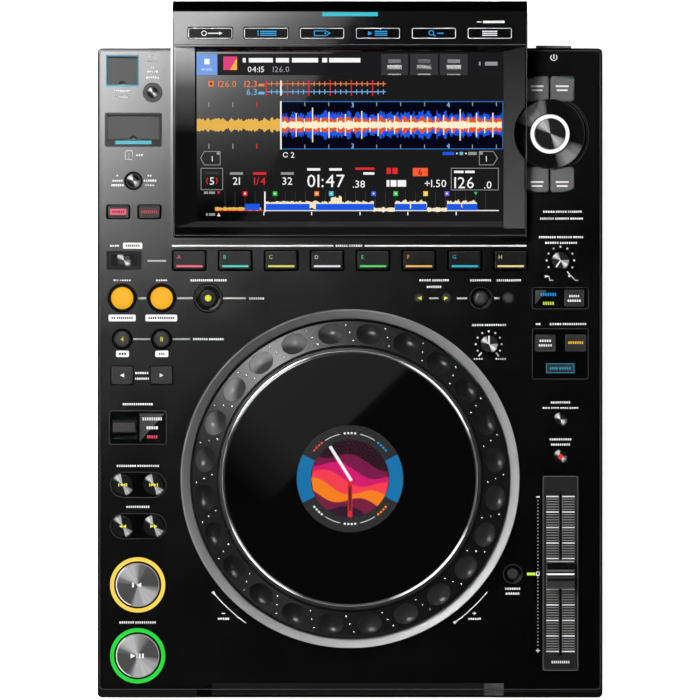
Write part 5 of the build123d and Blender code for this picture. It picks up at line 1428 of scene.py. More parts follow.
    def bars(self) -> None:
        """Draws the waves, beat ticks and bar lines from repeats."""
        rows = (
            (self.amber, 0.6, 1, 83, 70.2, 0.9, 15.5, 0.06, 3),
            (self.blue, 85.4, 1, 219, 70.2, 1.04, 29, 0.06, 7),
            (self.rust, 85.4, 1, 219, 70.2, 1.04, 17.5, 0.08, 12),
            (self.cream, 85.4, 1, 219, 70.2, 1.04, 8.5, 0.1, 21),
            (self.cream, 99.1, 16.33, 13, 70.2, 1.1, 33, 0.12, 5),
            (self.cream, 107.3, 16.33, 12, 70.2, 1, 17, 0.12, 9),
            (self.orange, 69.3, 5.3, 23, 29.7, 0.9, 4.6, 0.06),
            (self.red, 69.3, 21.2, 6, 29.7, 1, 7.4, 0.08),
            (self.sky, 69.3, 5.3, 23, 37.6, 0.9, 4.6, 0.06),
            (self.red, 69.3, 21.2, 6, 37.6, 1, 7.4, 0.08),
            (self.grey, 107.7, 23.86, 9, 49.6, 0.8, 4, 0.06),
            (self.grey, 107.7, 23.86, 9, 91.6, 0.8, 4, 0.06),
            (self.dim, 28, 10, 27, 145.5, 0.45, 19, 0.05),
            (self.amber, 18.5, 1, 46, 153.2, 0.9, 4, 0.07, 31),
            (self.cream, 69, 1, 108, 149.4, 0.9, 9, 0.07, 17),
            (self.cream, 134, 1, 11, 147, 0.9, 15, 0.07, 19),
            (self.cream, 176, 1, 22, 154, 0.9, 5, 0.07, 23),
            (self.cream, 198, 1, 32, 149.4, 0.9, 10, 0.07, 27),
            (self.cream, 230, 1, 20, 154, 0.9, 5, 0.07, 29),
            (self.cream, 250, 1, 30, 149.4, 0.9, 10, 0.07, 33),
        )
        repeats("screen_waves", self.plane, [self.row(*row) for row in rows], "case", "screen")

    def build(self) -> None:
        """Builds the whole picture."""
        for part in (self.header, self.beats, self.wave, self.tags, self.facts, self.overview):
            part()
        self.art.make("case", "screen")
        self.bars()


@dataclass
class MenuStrip:
    """Outlines and signs of the six keys above the screen, and painted highlight lines along the hood's edges.
    """

    pitch: float = 36.2
    row: float = 69.9
    width: float = 29.0
    length: float = 7.6
    proud: float = 0.9

    def signs(self) -> None:
        """Draws each key's outline and its sign."""
        art = Art("menu_key_signs", hood_plane(self.proud), 0.03)
        rim = Finish("menu_key_rim", grey(0.5), roughness=0.3, grain=0)
        cyan = Lit("menu_cyan", tone(50, 160, 225), glow=0.95)
        white = Lit("menu_white", tone(240, 242, 245), glow=0.95)
        for i in range(6):
            x, y = (i - 2.5) * self.pitch, self.row
            half_x, half_y = self.width / 2 - 0.5, self.length / 2 - 0.5
            art.frame(x - half_x, y - half_y, x + half_x, y + half_y, 0.4, rim, 0.9)
            ink = white if i in (0, 5) else cyan
            if i == 0:
                art.arc(x - 4, y, 1.5, 0.5, 0, 360, ink)
                art.block(x + 2.4, y, 8, 0.7, ink)
                art.arrow(x + 6.8, y, 2.2, 0, ink)
            elif i == 1:
                for k in (-1, 0, 1):
                    art.block(x - 5.2, y + k * 1.3, 0.9, 0.7, ink)
                    art.block(x + 1.4, y + k * 1.3, 10.4, 0.7, ink)
            elif i == 2:
                art.path(
                    [(x - 5, y - 1.6), (x - 5, y + 1.6), (x + 2.6, y + 1.6), (x + 5, y), (x + 2.6, y - 1.6)],
                    0.55, ink, True
                )
                art.disc(x + 2.2, y, 0.6, ink, 10)
            elif i == 3:
                art.arrow(x - 5, y, 2.8, 0, ink)
                for k in (-1, 0, 1):
                    art.block(x + 2, y + k * 1.3, 8, 0.7, ink)
            elif i == 4:
                art.arc(x - 1.6, y + 0.3, 1.5, 0.55, 0, 360, ink)
                art.line((x - 0.5, y - 0.8), (x + 1.2, y - 2.1), 0.7, ink)
                art.block(x + 4.2, y, 4, 0.7, ink)
            else:
                for k in (-1, 0, 1):
                    art.block(x, y + k * 1.3, 9.6, 0.7, ink)
        art.make("menu_keys")

    def lines(self) -> None:
        """Draws the mark above the last key and painted highlight lines along the hood's edges."""
        art = Art("hood_edge_lines", hood_plane(0), 0.03)
        x = 2.5 * self.pitch
        art.block(x - 6.8, 77.2, 3, 0.6, INK_WHITE)
        art.block(x + 2.6, 77.2, 14, 1.5, INK_WHITE)
        edge = Finish("hood_edge_painted_highlight", grey(0.05), roughness=0.3, specular=0.05, grain=0)
        art.block(0, 62.2, 228.6, 0.45, edge)
        art.block(0, -64.8, 228.6, 0.4, edge)
        for side in (-1, 1):
            art.block(side * 114.4, 7, 0.4, 146, edge)
        art.make("case", "gloss_black")

    def build(self) -> None:
        """Builds the signs and the lines."""
        self.signs()
        self.lines()


# ---------------------------------------------------------------- deck printing


DASH_PITCH = 1.35
DASH_GAP = 0.5


@dataclass(frozen=True)
class Caption:
    """A plain row of dashes that stands where a control has its caption."""

    x: float
    y: float
    words: tuple[float, ...]
    height: float = 1.3
    finish: Finish = INK_WHITE
    gap: float = 1.0

    def draw(self, art: Art, over: float = 0.0) -> None:
        """Draws the dashes about their centre."""
        total = sum(self.words) + self.gap * (len(self.words) - 1)
        left = self.x - total / 2
        for width in self.words:
            count = max(round(width / DASH_PITCH), 1)
            pitch = (width + DASH_GAP) / count
            for i in range(count):
                middle = left + i * pitch + (pitch - DASH_GAP) / 2
                art.block(middle, self.y, pitch - DASH_GAP, self.height, self.finish, over)
            left += width + self.gap


@dataclass
class DeckPrint:
    """The white printing on the deck: captions, link lines, tags, dials' dots and direction arcs, with painted
    highlight and shadow lines.
    """

    art: Art = field(default_factory=lambda: Art("deck_print_and_painted_edges", Plane2(), 0.04))

    def captions(self) -> None:
        """Draws the dashes that stand for the captions."""
        rows = (
            (-128.7, 181.3, 6.6), (-128.7, 177.5, 8), (-128.7, 184.5, 2.4), (-148.6, 168.8, 10.5),
            (-137.1, 127, 4.4), (-151.5, 110.3, 6.4), (-151.5, 107.3, 8), (-130.4, 110.3, 8),
            (-130.6, 107.3, 6), (-130.6, 113.6, 2.8), (-151.5, 113.6, 0.8), (-153.4, 67.9, 5.8),
            (-148.5, 45.4, 3.2, 7), (-122.7, 45.4, 7), (-92.2, 45.4, 14.4, 8),
            (-60.9, 33.6, 9.6), (-92.3, 7.1, 9.4, 9.4), (-135.6, -15, 8.4), (-135.5, -18.6, 9),
            (-138.3, -35.3, 19.4), (-138.2, -75.5, 12.4, 14), (-138.2, -102.2, 14.8),
            (-138.4, -177.5, 9.4, 13.2), (-82.4, -175.1, 7.2), (81.1, -175.1, 8.2),
            (-0.7, 67.9, 7.6, 8.6), (137.5, 73.5, 10.8, 9.6, 6.4), (137.5, 69.8, 8.6, 11),
            (54.7, 45.4, 7.4, 10.6), (54.7, 41.1, 9.2), (85.1, 45.4, 13.4), (103.4, 45.4, 15.6),
            (90.6, 16.3, 7.2, 13.8), (142, 16.9, 7.4, 15.2), (122.5, 16.9, 3), (83.5, -5.8, 5.6),
            (98.2, -5.8, 6.6), (137.1, -34.2, 12.4), (137.1, -37.7, 4.4, 5, 5, 5.6), (137.1, -58.2, 14),
            (137.1, -61.6, 12.2), (105.9, -155.5, 9.8), (105.9, -158.7, 8.6),
            (138.3, 90.1, 7.4, 6.8, 8.8), (137.8, 85.6, 8.8, 8.8, 8.2),
        )
        for x, y, *words in rows:
            height = 1 if len(words) > 3 or words[0] < 7.2 else 1.3
            Caption(x, y, words, height).draw(self.art)

    def links(self) -> None:
        """Draws the lines that tie the controls of one group together."""
        for x0, x1, y, width in (
            (-131.9, -119.9, 58.1, 1.1), (-137.9, -132.8, 33.7, 1.2), (-112.4, -102.3, 33.7, 1.2),
            (-83.1, -67.8, 33.7, 1.2), (-141.3, -130, 7.1, 1.2), (-115.5, -104.2, 7.1, 1.2),
            (51.7, 57.8, 33.7, 1.2), (69.6, 76.4, 33.7, 1.2), (94.1, 97.4, 33.7, 1.2),
        ):
            self.art.rect(x0, y - width / 2, x1, y + width / 2, INK_SOFT)
        for x0, x1 in ((-116, -10.9), (9.6, 114.9)):
            self.art.rect(x0, 67.3, x1, 68.4, INK_WHITE)

    def tags(self) -> None:
        """Draws the white tags with dark dashes."""
        for x0, x1, y0, y1, *words in (
            (-147.9, -135.3, 66, 69.9, 9), (-157.3, -139.7, 18.7, 23, 2.4, 10.4),
            (-133.2, -112.6, 18.7, 23, 5, 10.6), (-152.4, -144, -4.6, -0.4, 4.6),
            (-126.8, -118.4, -4.6, -0.4, 3.6),
        ):
            self.art.rect(x0 + 0.4, y0, x1 - 0.4, y1, INK_WHITE)
            self.art.rect(x0, y0 + 0.4, x1, y1 - 0.4, INK_WHITE, 0.005)
            Caption((x0 + x1) / 2, (y0 + y1) / 2, words, 1.5, INK_BLACK).draw(self.art, 0.01)

    def signs(self) -> None:
        """Draws the small pictures beside the sockets and dials."""
        art = self.art
        x, y = -128.7, 190
        art.frame(x - 2.2, y - 1, x + 2.2, y + 2, 0.45, INK_SOFT)
        art.block(x, y - 2.1, 6.4, 0.7, INK_SOFT)
        art.block(x + 1.3, y + 4.2, 3.8, 0.6, INK_SOFT)
        x, y = -148.3, 164.9
        art.block(x, y, 8, 0.5, INK_SOFT)
        art.arrow(x + 4, y, 1.8, 0, INK_SOFT)
        art.disc(x - 3.8, y, 0.9, INK_SOFT)
        art.line((x - 1.6, y), (x + 0.6, y + 1.5), 0.45, INK_SOFT)
        art.block(x + 1.6, y + 1.5, 2.2, 0.45, INK_SOFT)
        x, y = -144.1, 127
        art.path(
            [(x - 2.4, y - 2.9), (x + 2.4, y - 2.9), (x + 2.4, y + 2.9), (x - 1, y + 2.9), (x - 2.4, y + 1.6)],
            0.5, INK_SOFT, True
        )
        art.arrow(x, y + 0.6, 1.8, 90, INK_SOFT)
        art.block(x, y - 1.3, 0.6, 2.2, INK_SOFT)
        x, y = 132.8, 190.6
        art.block(x, y + 0.6, 0.7, 3, INK_WHITE)
        art.arc(x, y, 2, 0.55, 130, 410, INK_WHITE)

    def arcs(self) -> None:
        """Draws the two arcs along the wheel, with their arrows, minus and plus."""
        art, radius = self.art, 116
        for side in (-1, 1):
            turns = [math.radians(219.5 + 14.8 * i / 10) for i in range(11)]
            points = [(-side * radius * math.cos(turn), JOG_Y + radius * math.sin(turn)) for turn in turns]
            art.path(points if side < 0 else points[::-1], 0.6, INK_WHITE)
            x, y = points[-2]
            barb = [(x, y), (x + side * 4.6, y + 2.4), (x + side * 1, y + 1.4)]
            art.poly(barb if side > 0 else barb[::-1], INK_WHITE, 0.01)
        for x, plus in ((-82.5, False), (81, True)):
            art.block(x, -171.6, 2.2, 0.6, INK_WHITE)
            if plus:
                art.block(x, -171.6, 0.6, 2.2, INK_WHITE)

    def dials(self) -> None:
        """Draws the dots round the two dials and their end marks."""
        art = self.art
        for (x, y), radius in ((SPEED_SPOT, 8.9), (ADJUST_SPOT, 8.4)):
            for turn in range(-30, 211, 30):
                art.disc(*polar(x, y, radius, turn), 0.62, INK_WHITE, 10)
        x, y = SPEED_SPOT
        art.line((x + 4.4, y - 7.2), (x + 6, y - 9.4), 0.8, INK_WHITE)
        art.path(
            [(x - 10.2, y - 10.4), (x - 7.6, y - 10.4), (x - 6.8, y - 13), (x - 4.6, y - 13)], 0.5, INK_WHITE
        )
        art.path(
            [(x + 5.2, y - 10.2), (x + 7.2, y - 10.2), (x + 9.6, y - 13), (x + 11.6, y - 13)], 0.5, INK_WHITE
        )
        x, y = ADJUST_SPOT
        for side in (-1, 1):
            art.line((x + side * 4.6, y - 5.4), (x + side * 6.6, y - 7.8), 0.9, INK_WHITE)

    def fader_scale(self) -> None:
        """Draws the fader's scale: its dots, end marks and middle figure."""
        art = self.art
        x = 122.4
        art.block(x, -95.7, 2.2, 0.9, INK_WHITE)
        art.frame(x - 0.9, -145.7 - 1.3, x + 0.9, -145.7 + 1.3, 0.6, INK_WHITE, 0.8)
        art.block(x, -195.8, 2.4, 0.8, INK_WHITE)
        art.block(x, -195.8, 0.8, 2.4, INK_WHITE)
        dots = [
            Repeat(Pattern.ROW, 21, (0.75, 0.7, 0.02), (x, -98.3), INK_SOFT, step=(0, -2.2), lift=0.03),
            Repeat(Pattern.ROW, 21, (0.75, 0.7, 0.02), (x, -148.4), INK_SOFT, step=(0, -2.2), lift=0.03),
        ]
        repeats("fader_scale_dots", Plane2(), dots, "case", "light")

    def edges(self) -> None:
        """Draws a painted highlight line along the case's rim and the hood's front edge, and painted shadow in
        the gaps round the keys.
        """
        art = self.art
        # Painted highlight along the case's rim and the hood's front edge.
        art.frame(-163, -221, 163, 195, 0.5, RIM_HIGHLIGHT_LINE, 2)
        art.block(0, 72.7, 230, 0.45, RIM_HIGHLIGHT_SOFT)
        # Painted shadow: a dark line below the hood's front edge, and dark frames and rings round the keys.
        art.block(0, 72.1, 230, 0.5, GAP_SHADOW)
        for i in range(8):
            x = (i - 3.5) * 29.9
            art.frame(x - 11, 58.4 - 6.55, x + 11, 58.4 + 6.55, 0.9, GAP_SHADOW, 1, 0.01)
        for x in (-151, -130.7):
            art.frame(x - 7.4, 90 - 4.3, x + 7.4, 90 + 4.3, 1.2, GAP_SHADOW, 1.2, 0.01)
        for x in (-148.4, -122.7):
            art.frame(x - 7.2, -16.5 - 6, x + 7.2, -16.5 + 6, 0.8, GAP_SHADOW, 0.8, 0.01)
        for x, y, radius, width in (
            (-148.4, 7.1, 6.4, 1), (-122.7, 7.1, 6.4, 1), (*TIME_SPOT, 5.4, 1.4), (*SPEED_SPOT, 6.4, 0.8),
            (*ADJUST_SPOT, 6.4, 0.8), (*RELOOP_SPOT, 9.3, 0.8), (-148.4, 33.8, 9.2, 0.7),
            (-122.7, 33.8, 9.2, 0.7),
        ):
            art.arc(x, y, radius, width, 0, 360, GAP_SHADOW, 0.01)

    def build(self) -> None:
        """Builds all the printing and the painted edge lines."""
        for part in (
            self.captions, self.links, self.tags, self.signs, self.arcs, self.dials, self.fader_scale,
            self.edges
        ):
            part()
        self.art.make("case", "light")


# ---------------------------------------------------------------- keys and their legends


WINDOW_TOP = 68.5
BEZEL_TOP = 68.7
SQUARE_TOP = 69.5
PAD_TOP = 69.6
FLAT_TOP = 69.8
ROUND_TOP = 70.4
DISC_TOP = 74.0
KNOB_TOP = 77.8


def key_art(name: str, top: float) -> Art:
    """Returns a sheet on the top of a key or plate."""
    return Art(name, Plane2((0, 0, top)), 0.03)


@dataclass
class HotCuePads:
    """Letters and light bars of the eight backlit pads, each on its own pad."""

    pitch: float = 29.9
    row: float = 58.4
    width: float = 20.8
    colours: tuple[Colour, ...] = (
        tone(255, 112, 130), tone(90, 225, 205), tone(225, 225, 110), tone(235, 235, 240),
        tone(95, 225, 110), tone(250, 185, 105), tone(50, 190, 225), tone(245, 225, 150),
    )

    def build(self) -> None:
        """Draws each pad's letter and bar, and a painted highlight line along its top and left rims."""
        for i, colour in enumerate(self.colours):
            art = key_art(f"pad_legend_{i + 1}", PAD_TOP)
            x = (i - 3.5) * self.pitch
            shine = Lit(f"pad_light_{i + 1}", colour, glow=0.95)
            soft = Lit(f"pad_letter_{i + 1}", dim(colour, 0.75), glow=0.95)
            art.sign("ABCDEFGH"[i], x - self.width / 2 + 3.6, self.row + 2.2, 2.5, soft)
            art.rect(x - self.width / 2 + 1.9, self.row - 4.4, x + self.width / 2 - 1.8, self.row - 3.2, shine)
            # Painted highlight on the pad's top and left rims.
            art.block(x, self.row + 5.6, self.width - 1.6, 0.35, EDGE_HIGHLIGHT)
            art.block(x - self.width / 2 + 0.6, self.row, 0.3, 10.8, EDGE_HIGHLIGHT)
            art.make(f"hot_cue_button_{i + 1}")


@dataclass
class LeftKeys:
    """Legends of the loop, beat, slip, call, direction and search keys."""

    def slip(self) -> None:
        """Draws the two lit windows of the slip and quantise keys."""
        art = key_art("slip_legends", SQUARE_TOP)
        pink = Lit("slip_pink", tone(250, 105, 130), glow=0.85)
        red = Lit("quantise_red", tone(200, 62, 72), glow=0.8)
        # Painted highlight frames along the keys' rims.
        for x in (-151, -130.7):
            art.frame(x - 6.3, 86.2, x + 6.3, 93.9, 0.4, EDGE_HIGHLIGHT, 0.6)
        art.block(-151, 90, 10.6, 4, pink)
        Caption(-151, 90, (7.6,), 1.5, Lit("slip_dash", tone(120, 30, 45), glow=0.6)).draw(art, 0.01)
        Caption(-130.7, 90, (10.4,), 2, red).draw(art)
        art.frame(-136.2, 87.9, -125.2, 92.1, 0.3, Lit("quantise_frame", tone(120, 45, 55), glow=0.5))
        art.make("slip_quantize_keys")

    def beats(self) -> None:
        """Draws the beat keys' numerals, the jump keys' arrows and the reloop key's lamp."""
        art = key_art("beat_legends", ROUND_TOP)
        for text, x in (("4", -148.4), ("8", -122.7)):
            art.sign(text, x, 7.1, 3.2, YELLOW_LIGHT)
        art.make("beat_keys")
        jump = key_art("jump_legends", FLAT_TOP)
        for x, turn in ((-148.4, 180), (-122.7, 0)):
            jump.arrow(x, -16.5, 2.6, turn, INK_WHITE)
            # Painted highlight frame along each jump key's rim.
            jump.frame(x - 6.6, -22, x + 6.6, -11, 0.3, EDGE_HIGHLIGHT)
        jump.make("beat_keys")
        lamp = key_art("reloop_lamp", ROUND_TOP)
        lamp.disc(*RELOOP_SPOT, 2.1, YELLOW_LIGHT)
        lamp.make("reloop_button")

    def direction(self) -> None:
        """Draws the direction window's painted sheen and bright edge line, its dashes, and a painted highlight
        line round its frame.
        """
        x = DIRECTION_WINDOW_X
        art = key_art("direction_window", WINDOW_TOP)
        # Painted reflection on the window, and a painted highlight along its left edge.
        art.poly([(x - 8.2, -59.6), (x + 8, -41.4), (x - 8.2, -41.4)], WINDOW_SHEEN)
        art.block(x - 8.6, -50.5, 0.5, 19.6, RIM_HIGHLIGHT_BRIGHT, 0.02)
        pink = Lit("reverse_pink", tone(245, 90, 120), glow=0.8)
        for y, width, finish in ((-44.9, 12.6, INK_WHITE), (-50.7, 7.2, INK_WHITE), (-56.6, 6.6, pink)):
            Caption(x, y, (width,), 1.9, finish).draw(art, 0.03)
        art.make("case", "bezel")
        frame = key_art("direction_frame_line", BEZEL_TOP)
        frame.frame(-156.8, -61.4, -119.7, -39.6, 0.4, RIM_HIGHLIGHT_LINE, 1.6)
        frame.make("case", "bezel")

    def search(self) -> None:
        """Draws the search keys' arrows and painted highlight lines round the pills."""
        art = key_art("search_legends", ROUND_TOP)
        for x, way in ((-148.1, 180), (-127.8, 0)):
            step = 1 if way == 0 else -1
            for shift in (-0.9, 0.9):
                art.arrow(x + shift * step * 1, -87.8, 1.9, way, YELLOW_LIGHT)
                art.arrow(x + shift * step * 1.3, -114.8, 2.2, way, YELLOW_LIGHT)
            art.block(x + step * 2.4, -87.8, 0.6, 2, YELLOW_LIGHT)
            art.block(x - step * 2.6, -87.8, 0.6, 2, YELLOW_LIGHT)
        art.make("search_keys")
        rims = key_art("pill_lines", BEZEL_TOP)
        for y in (-87.8, -114.8):
            rims.frame(-156.2, y - 8.2, -119.7, y + 8.2, 0.4, RIM_HIGHLIGHT_LINE, 8.1)
        rims.make("case", "bezel")

    def rings(self) -> None:
        """Draws painted highlight lines and crescents round the round keys' bezels and three frames."""
        art = key_art("left_bezel_lines", BEZEL_TOP)
        for x, y, outer in ((*RELOOP_SPOT, 8.4), (*STOP_SPOT, 6.3)):
            art.arc(x, y, outer, 0.35, 0, 360, RIM_HIGHLIGHT_LINE)
        art.arc(*RELOOP_SPOT, 7.4, 0.8, -80, -5, RIM_HIGHLIGHT_MID)
        art.arc(*RELOOP_SPOT, 7, 0.5, 110, 170, RIM_HIGHLIGHT_LINE)
        art.arc(*STOP_SPOT, 5.1, 0.6, 0, 360, RIM_HIGHLIGHT_SOFT)
        art.frame(-158.4, 52.3, -136, 64.5, 0.4, RIM_HIGHLIGHT_LINE, 1.2)
        art.frame(-156.4, 54, -138, 62.8, 0.35, RIM_HIGHLIGHT_SOFT)
        art.frame(-159.4, 132.7, -122.8, 154.3, 0.4, RIM_HIGHLIGHT_LINE, 1.6)
        art.make("case", "bezel")

    def build(self) -> None:
        """Builds the left side's legends."""
        for part in (self.slip, self.beats, self.direction, self.search, self.rings):
            part()


@dataclass
class Transport:
    """Signs and painted highlight rims on the cue and play caps."""

    top: float = 71.0
    radius: float = 13.8

    def build(self) -> None:
        """Draws a painted highlight rim and a sign on each cap."""
        for name, (x, y) in (("cue_button", CUE_SPOT), ("play_button", PLAY_SPOT)):
            art = key_art(f"{name}_sign", self.top)
            art.arc(x, y, self.radius, 0.6, 125, 250, RIM_HIGHLIGHT_WHITE)
            art.arc(x, y, self.radius, 0.45, -110, 125, RIM_HIGHLIGHT_BRIGHT)
            if name == "cue_button":
                art.block(x - 3, y, 1.2, 3, INK_WHITE, 0.02)
                art.arrow(x + 0.8, y, 3.2, 180, INK_WHITE, 0.02)
            else:
                art.arrow(x - 3, y, 3.2, 0, INK_WHITE, 0.02)
                for shift in (1.4, 3.4):
                    art.block(x + shift, y, 1, 3, INK_WHITE, 0.02)
                art.line((x - 0.9, y - 1.5), (x + 0.1, y + 1.5), 0.4, INK_WHITE, 0.02)
            art.make(name)


def caps_with_painted_fans(
    name: str, bright: float, spots: Sequence[Point], half: float, turn: float, low: float, base: float = 0.004,
    narrow: float = 0.1,
) -> Patched:
    """Returns a finish whose round caps each carry two painted highlight fans about their own centre.

    Args:
        name: The finish's name.
        bright: The fans' brightest grey.
        spots: The caps' centres in plan.
        half: Half the width of a cap's box.
        turn: The fans' heading, in radians.
        low: The darkest part of a cap against its brightest.
        base: The grey of the rest of the piece.
        narrow: How narrow the fans are, from -1 to 1.

    Returns:
        The finish.
    """
    patches = tuple(Patch(x, y, half, half, grey(bright), fan=turn, low=low, narrow=narrow) for x, y in spots)
    return Patched(name, grey(base), 0.22, specular=0.04, marks=0.03, patches=patches)


SEARCH_SPOTS = ((-148.1, -87.8), (-127.8, -87.8), (-148.1, -114.8), (-127.8, -114.8))
NODE_FINISH |= {
    # The trim ring's cut edge carries four painted glints.
    "jog_trim_ring": PaintedGlintRing("trim_cut_edge_painted_glints", grey(0.03), 0.2, metallic=0.9),
    "light_guides": Patched(
        "light_guides", grey(0.01), 0.15, specular=0.02, grain=0,
        patches=(
            Patch(*SELECTOR_SPOT, 13.5, 13.5, tone(252, 253, 255), 1),
            Patch(-148.3, 181.9, 11.4, 10.9, tone(38, 128, 160), 0.9),
            Patch(-148.3, 172, 11.4, 1.2, tone(42, 165, 195), 0.95),
            Patch(-141.1, 135.2, 12.2, 1.6, tone(66, 182, 198), 0.95),
            Patch(118, -145.9, 3.2, 1.4, tone(190, 238, 70), 1),
            Patch(0, 217.2, 18.6, 2.4, tone(66, 190, 205), 0.95),
        ),
    ),
    "transport_light_rings": Patched(
        "transport_light_rings", grey(0.01), 0.2, specular=0.02, grain=0,
        patches=(
            Patch(*CUE_SPOT, 18.4, 18.4, tone(252, 208, 88), 1),
            Patch(*PLAY_SPOT, 18.4, 18.4, tone(46, 206, 64), 1)
        ),
    ),
    "legend_plates": Patched(
        "legend_plates", grey(0.001), 0.16, specular=0.04, marks=0.02, grain=0,
        patches=(Patch(137.1, -145.4, 11.8, 63.6, grey(0.0095)),),
    ),
    # The selector's dished bezel carries painted highlight fans.
    "button_bezels": Patched(
        "button_bezels", grey(0.0008), 0.14, specular=0.02, marks=0.03, grain=0,
        patches=(Patch(*SELECTOR_SPOT, 23.2, 23.2, grey(0.13), 0, 2.3, 0.02, 0.3),),
    ),
    # These caps carry painted highlight fans in their colour.
    "cue_button": caps_with_painted_fans("cue_cap", 0.24, (CUE_SPOT,), 15, 2.1, 0.14, narrow=-0.5),
    "play_button": caps_with_painted_fans("play_cap", 0.24, (PLAY_SPOT,), 15, 2, 0.14, narrow=-0.5),
    "search_keys": caps_with_painted_fans("search_caps", 0.34, SEARCH_SPOTS, 7.6, 2.1, 0.006, narrow=0.62),
    "time_mode_button": caps_with_painted_fans("time_cap", 0.45, (TIME_SPOT,), 4.6, 2.36, 0.01),
    "usb_stop_button": caps_with_painted_fans("stop_cap", 0.45, (STOP_SPOT,), 4.6, 2.36, 0.02),
    "hot_cue_call_button": caps_with_painted_fans("call_cap", 0.35, ((-147.2, 58.4),), 5.4, 2.36, 0.02),
    "tempo_keys": caps_with_painted_fans("tempo_caps", 0.4, ((137.1, -45.2), (137.1, -69.3)), 5, 2.36, 0.01, 0.02),
    "speed_knob": caps_with_painted_fans("speed_cap", 0.4, (SPEED_SPOT,), 7, 2.5, 0.02),
    "jog_adjust_knob": caps_with_painted_fans("adjust_cap", 0.4, (ADJUST_SPOT,), 7, 2.5, 0.02),
    "selector_knob": caps_with_painted_fans("selector_cap", 0.24, (SELECTOR_SPOT,), 10.6, 2.3, 0.02, 0.008, 0.3),
    "memory_keys": Finish("memory_domes", grey(0.016), 0.25, specular=0.15, marks=0.03),
    "reloop_button": Finish("reloop_dome", grey(0.004), 0.2, specular=0.05, marks=0.03),
    "browse_keys": Finish("browse_key_grey", grey(0.065), 0.35, specular=0.08, marks=0.03),
    "beat_keys": Finish("beat_key_satin", grey(0.008), 0.3, specular=0.05, marks=0.03),
    "direction_lever": Finish("lever_satin", grey(0.012), 0.25, specular=0.08, marks=0.03),
    "tempo_slider": Finish("slider_satin", grey(0.002), 0.28, specular=0.05, marks=0.04),
    "slip_quantize_keys": Finish("slip_key_satin", grey(0.008), 0.32, specular=0.04, marks=0.04),
}


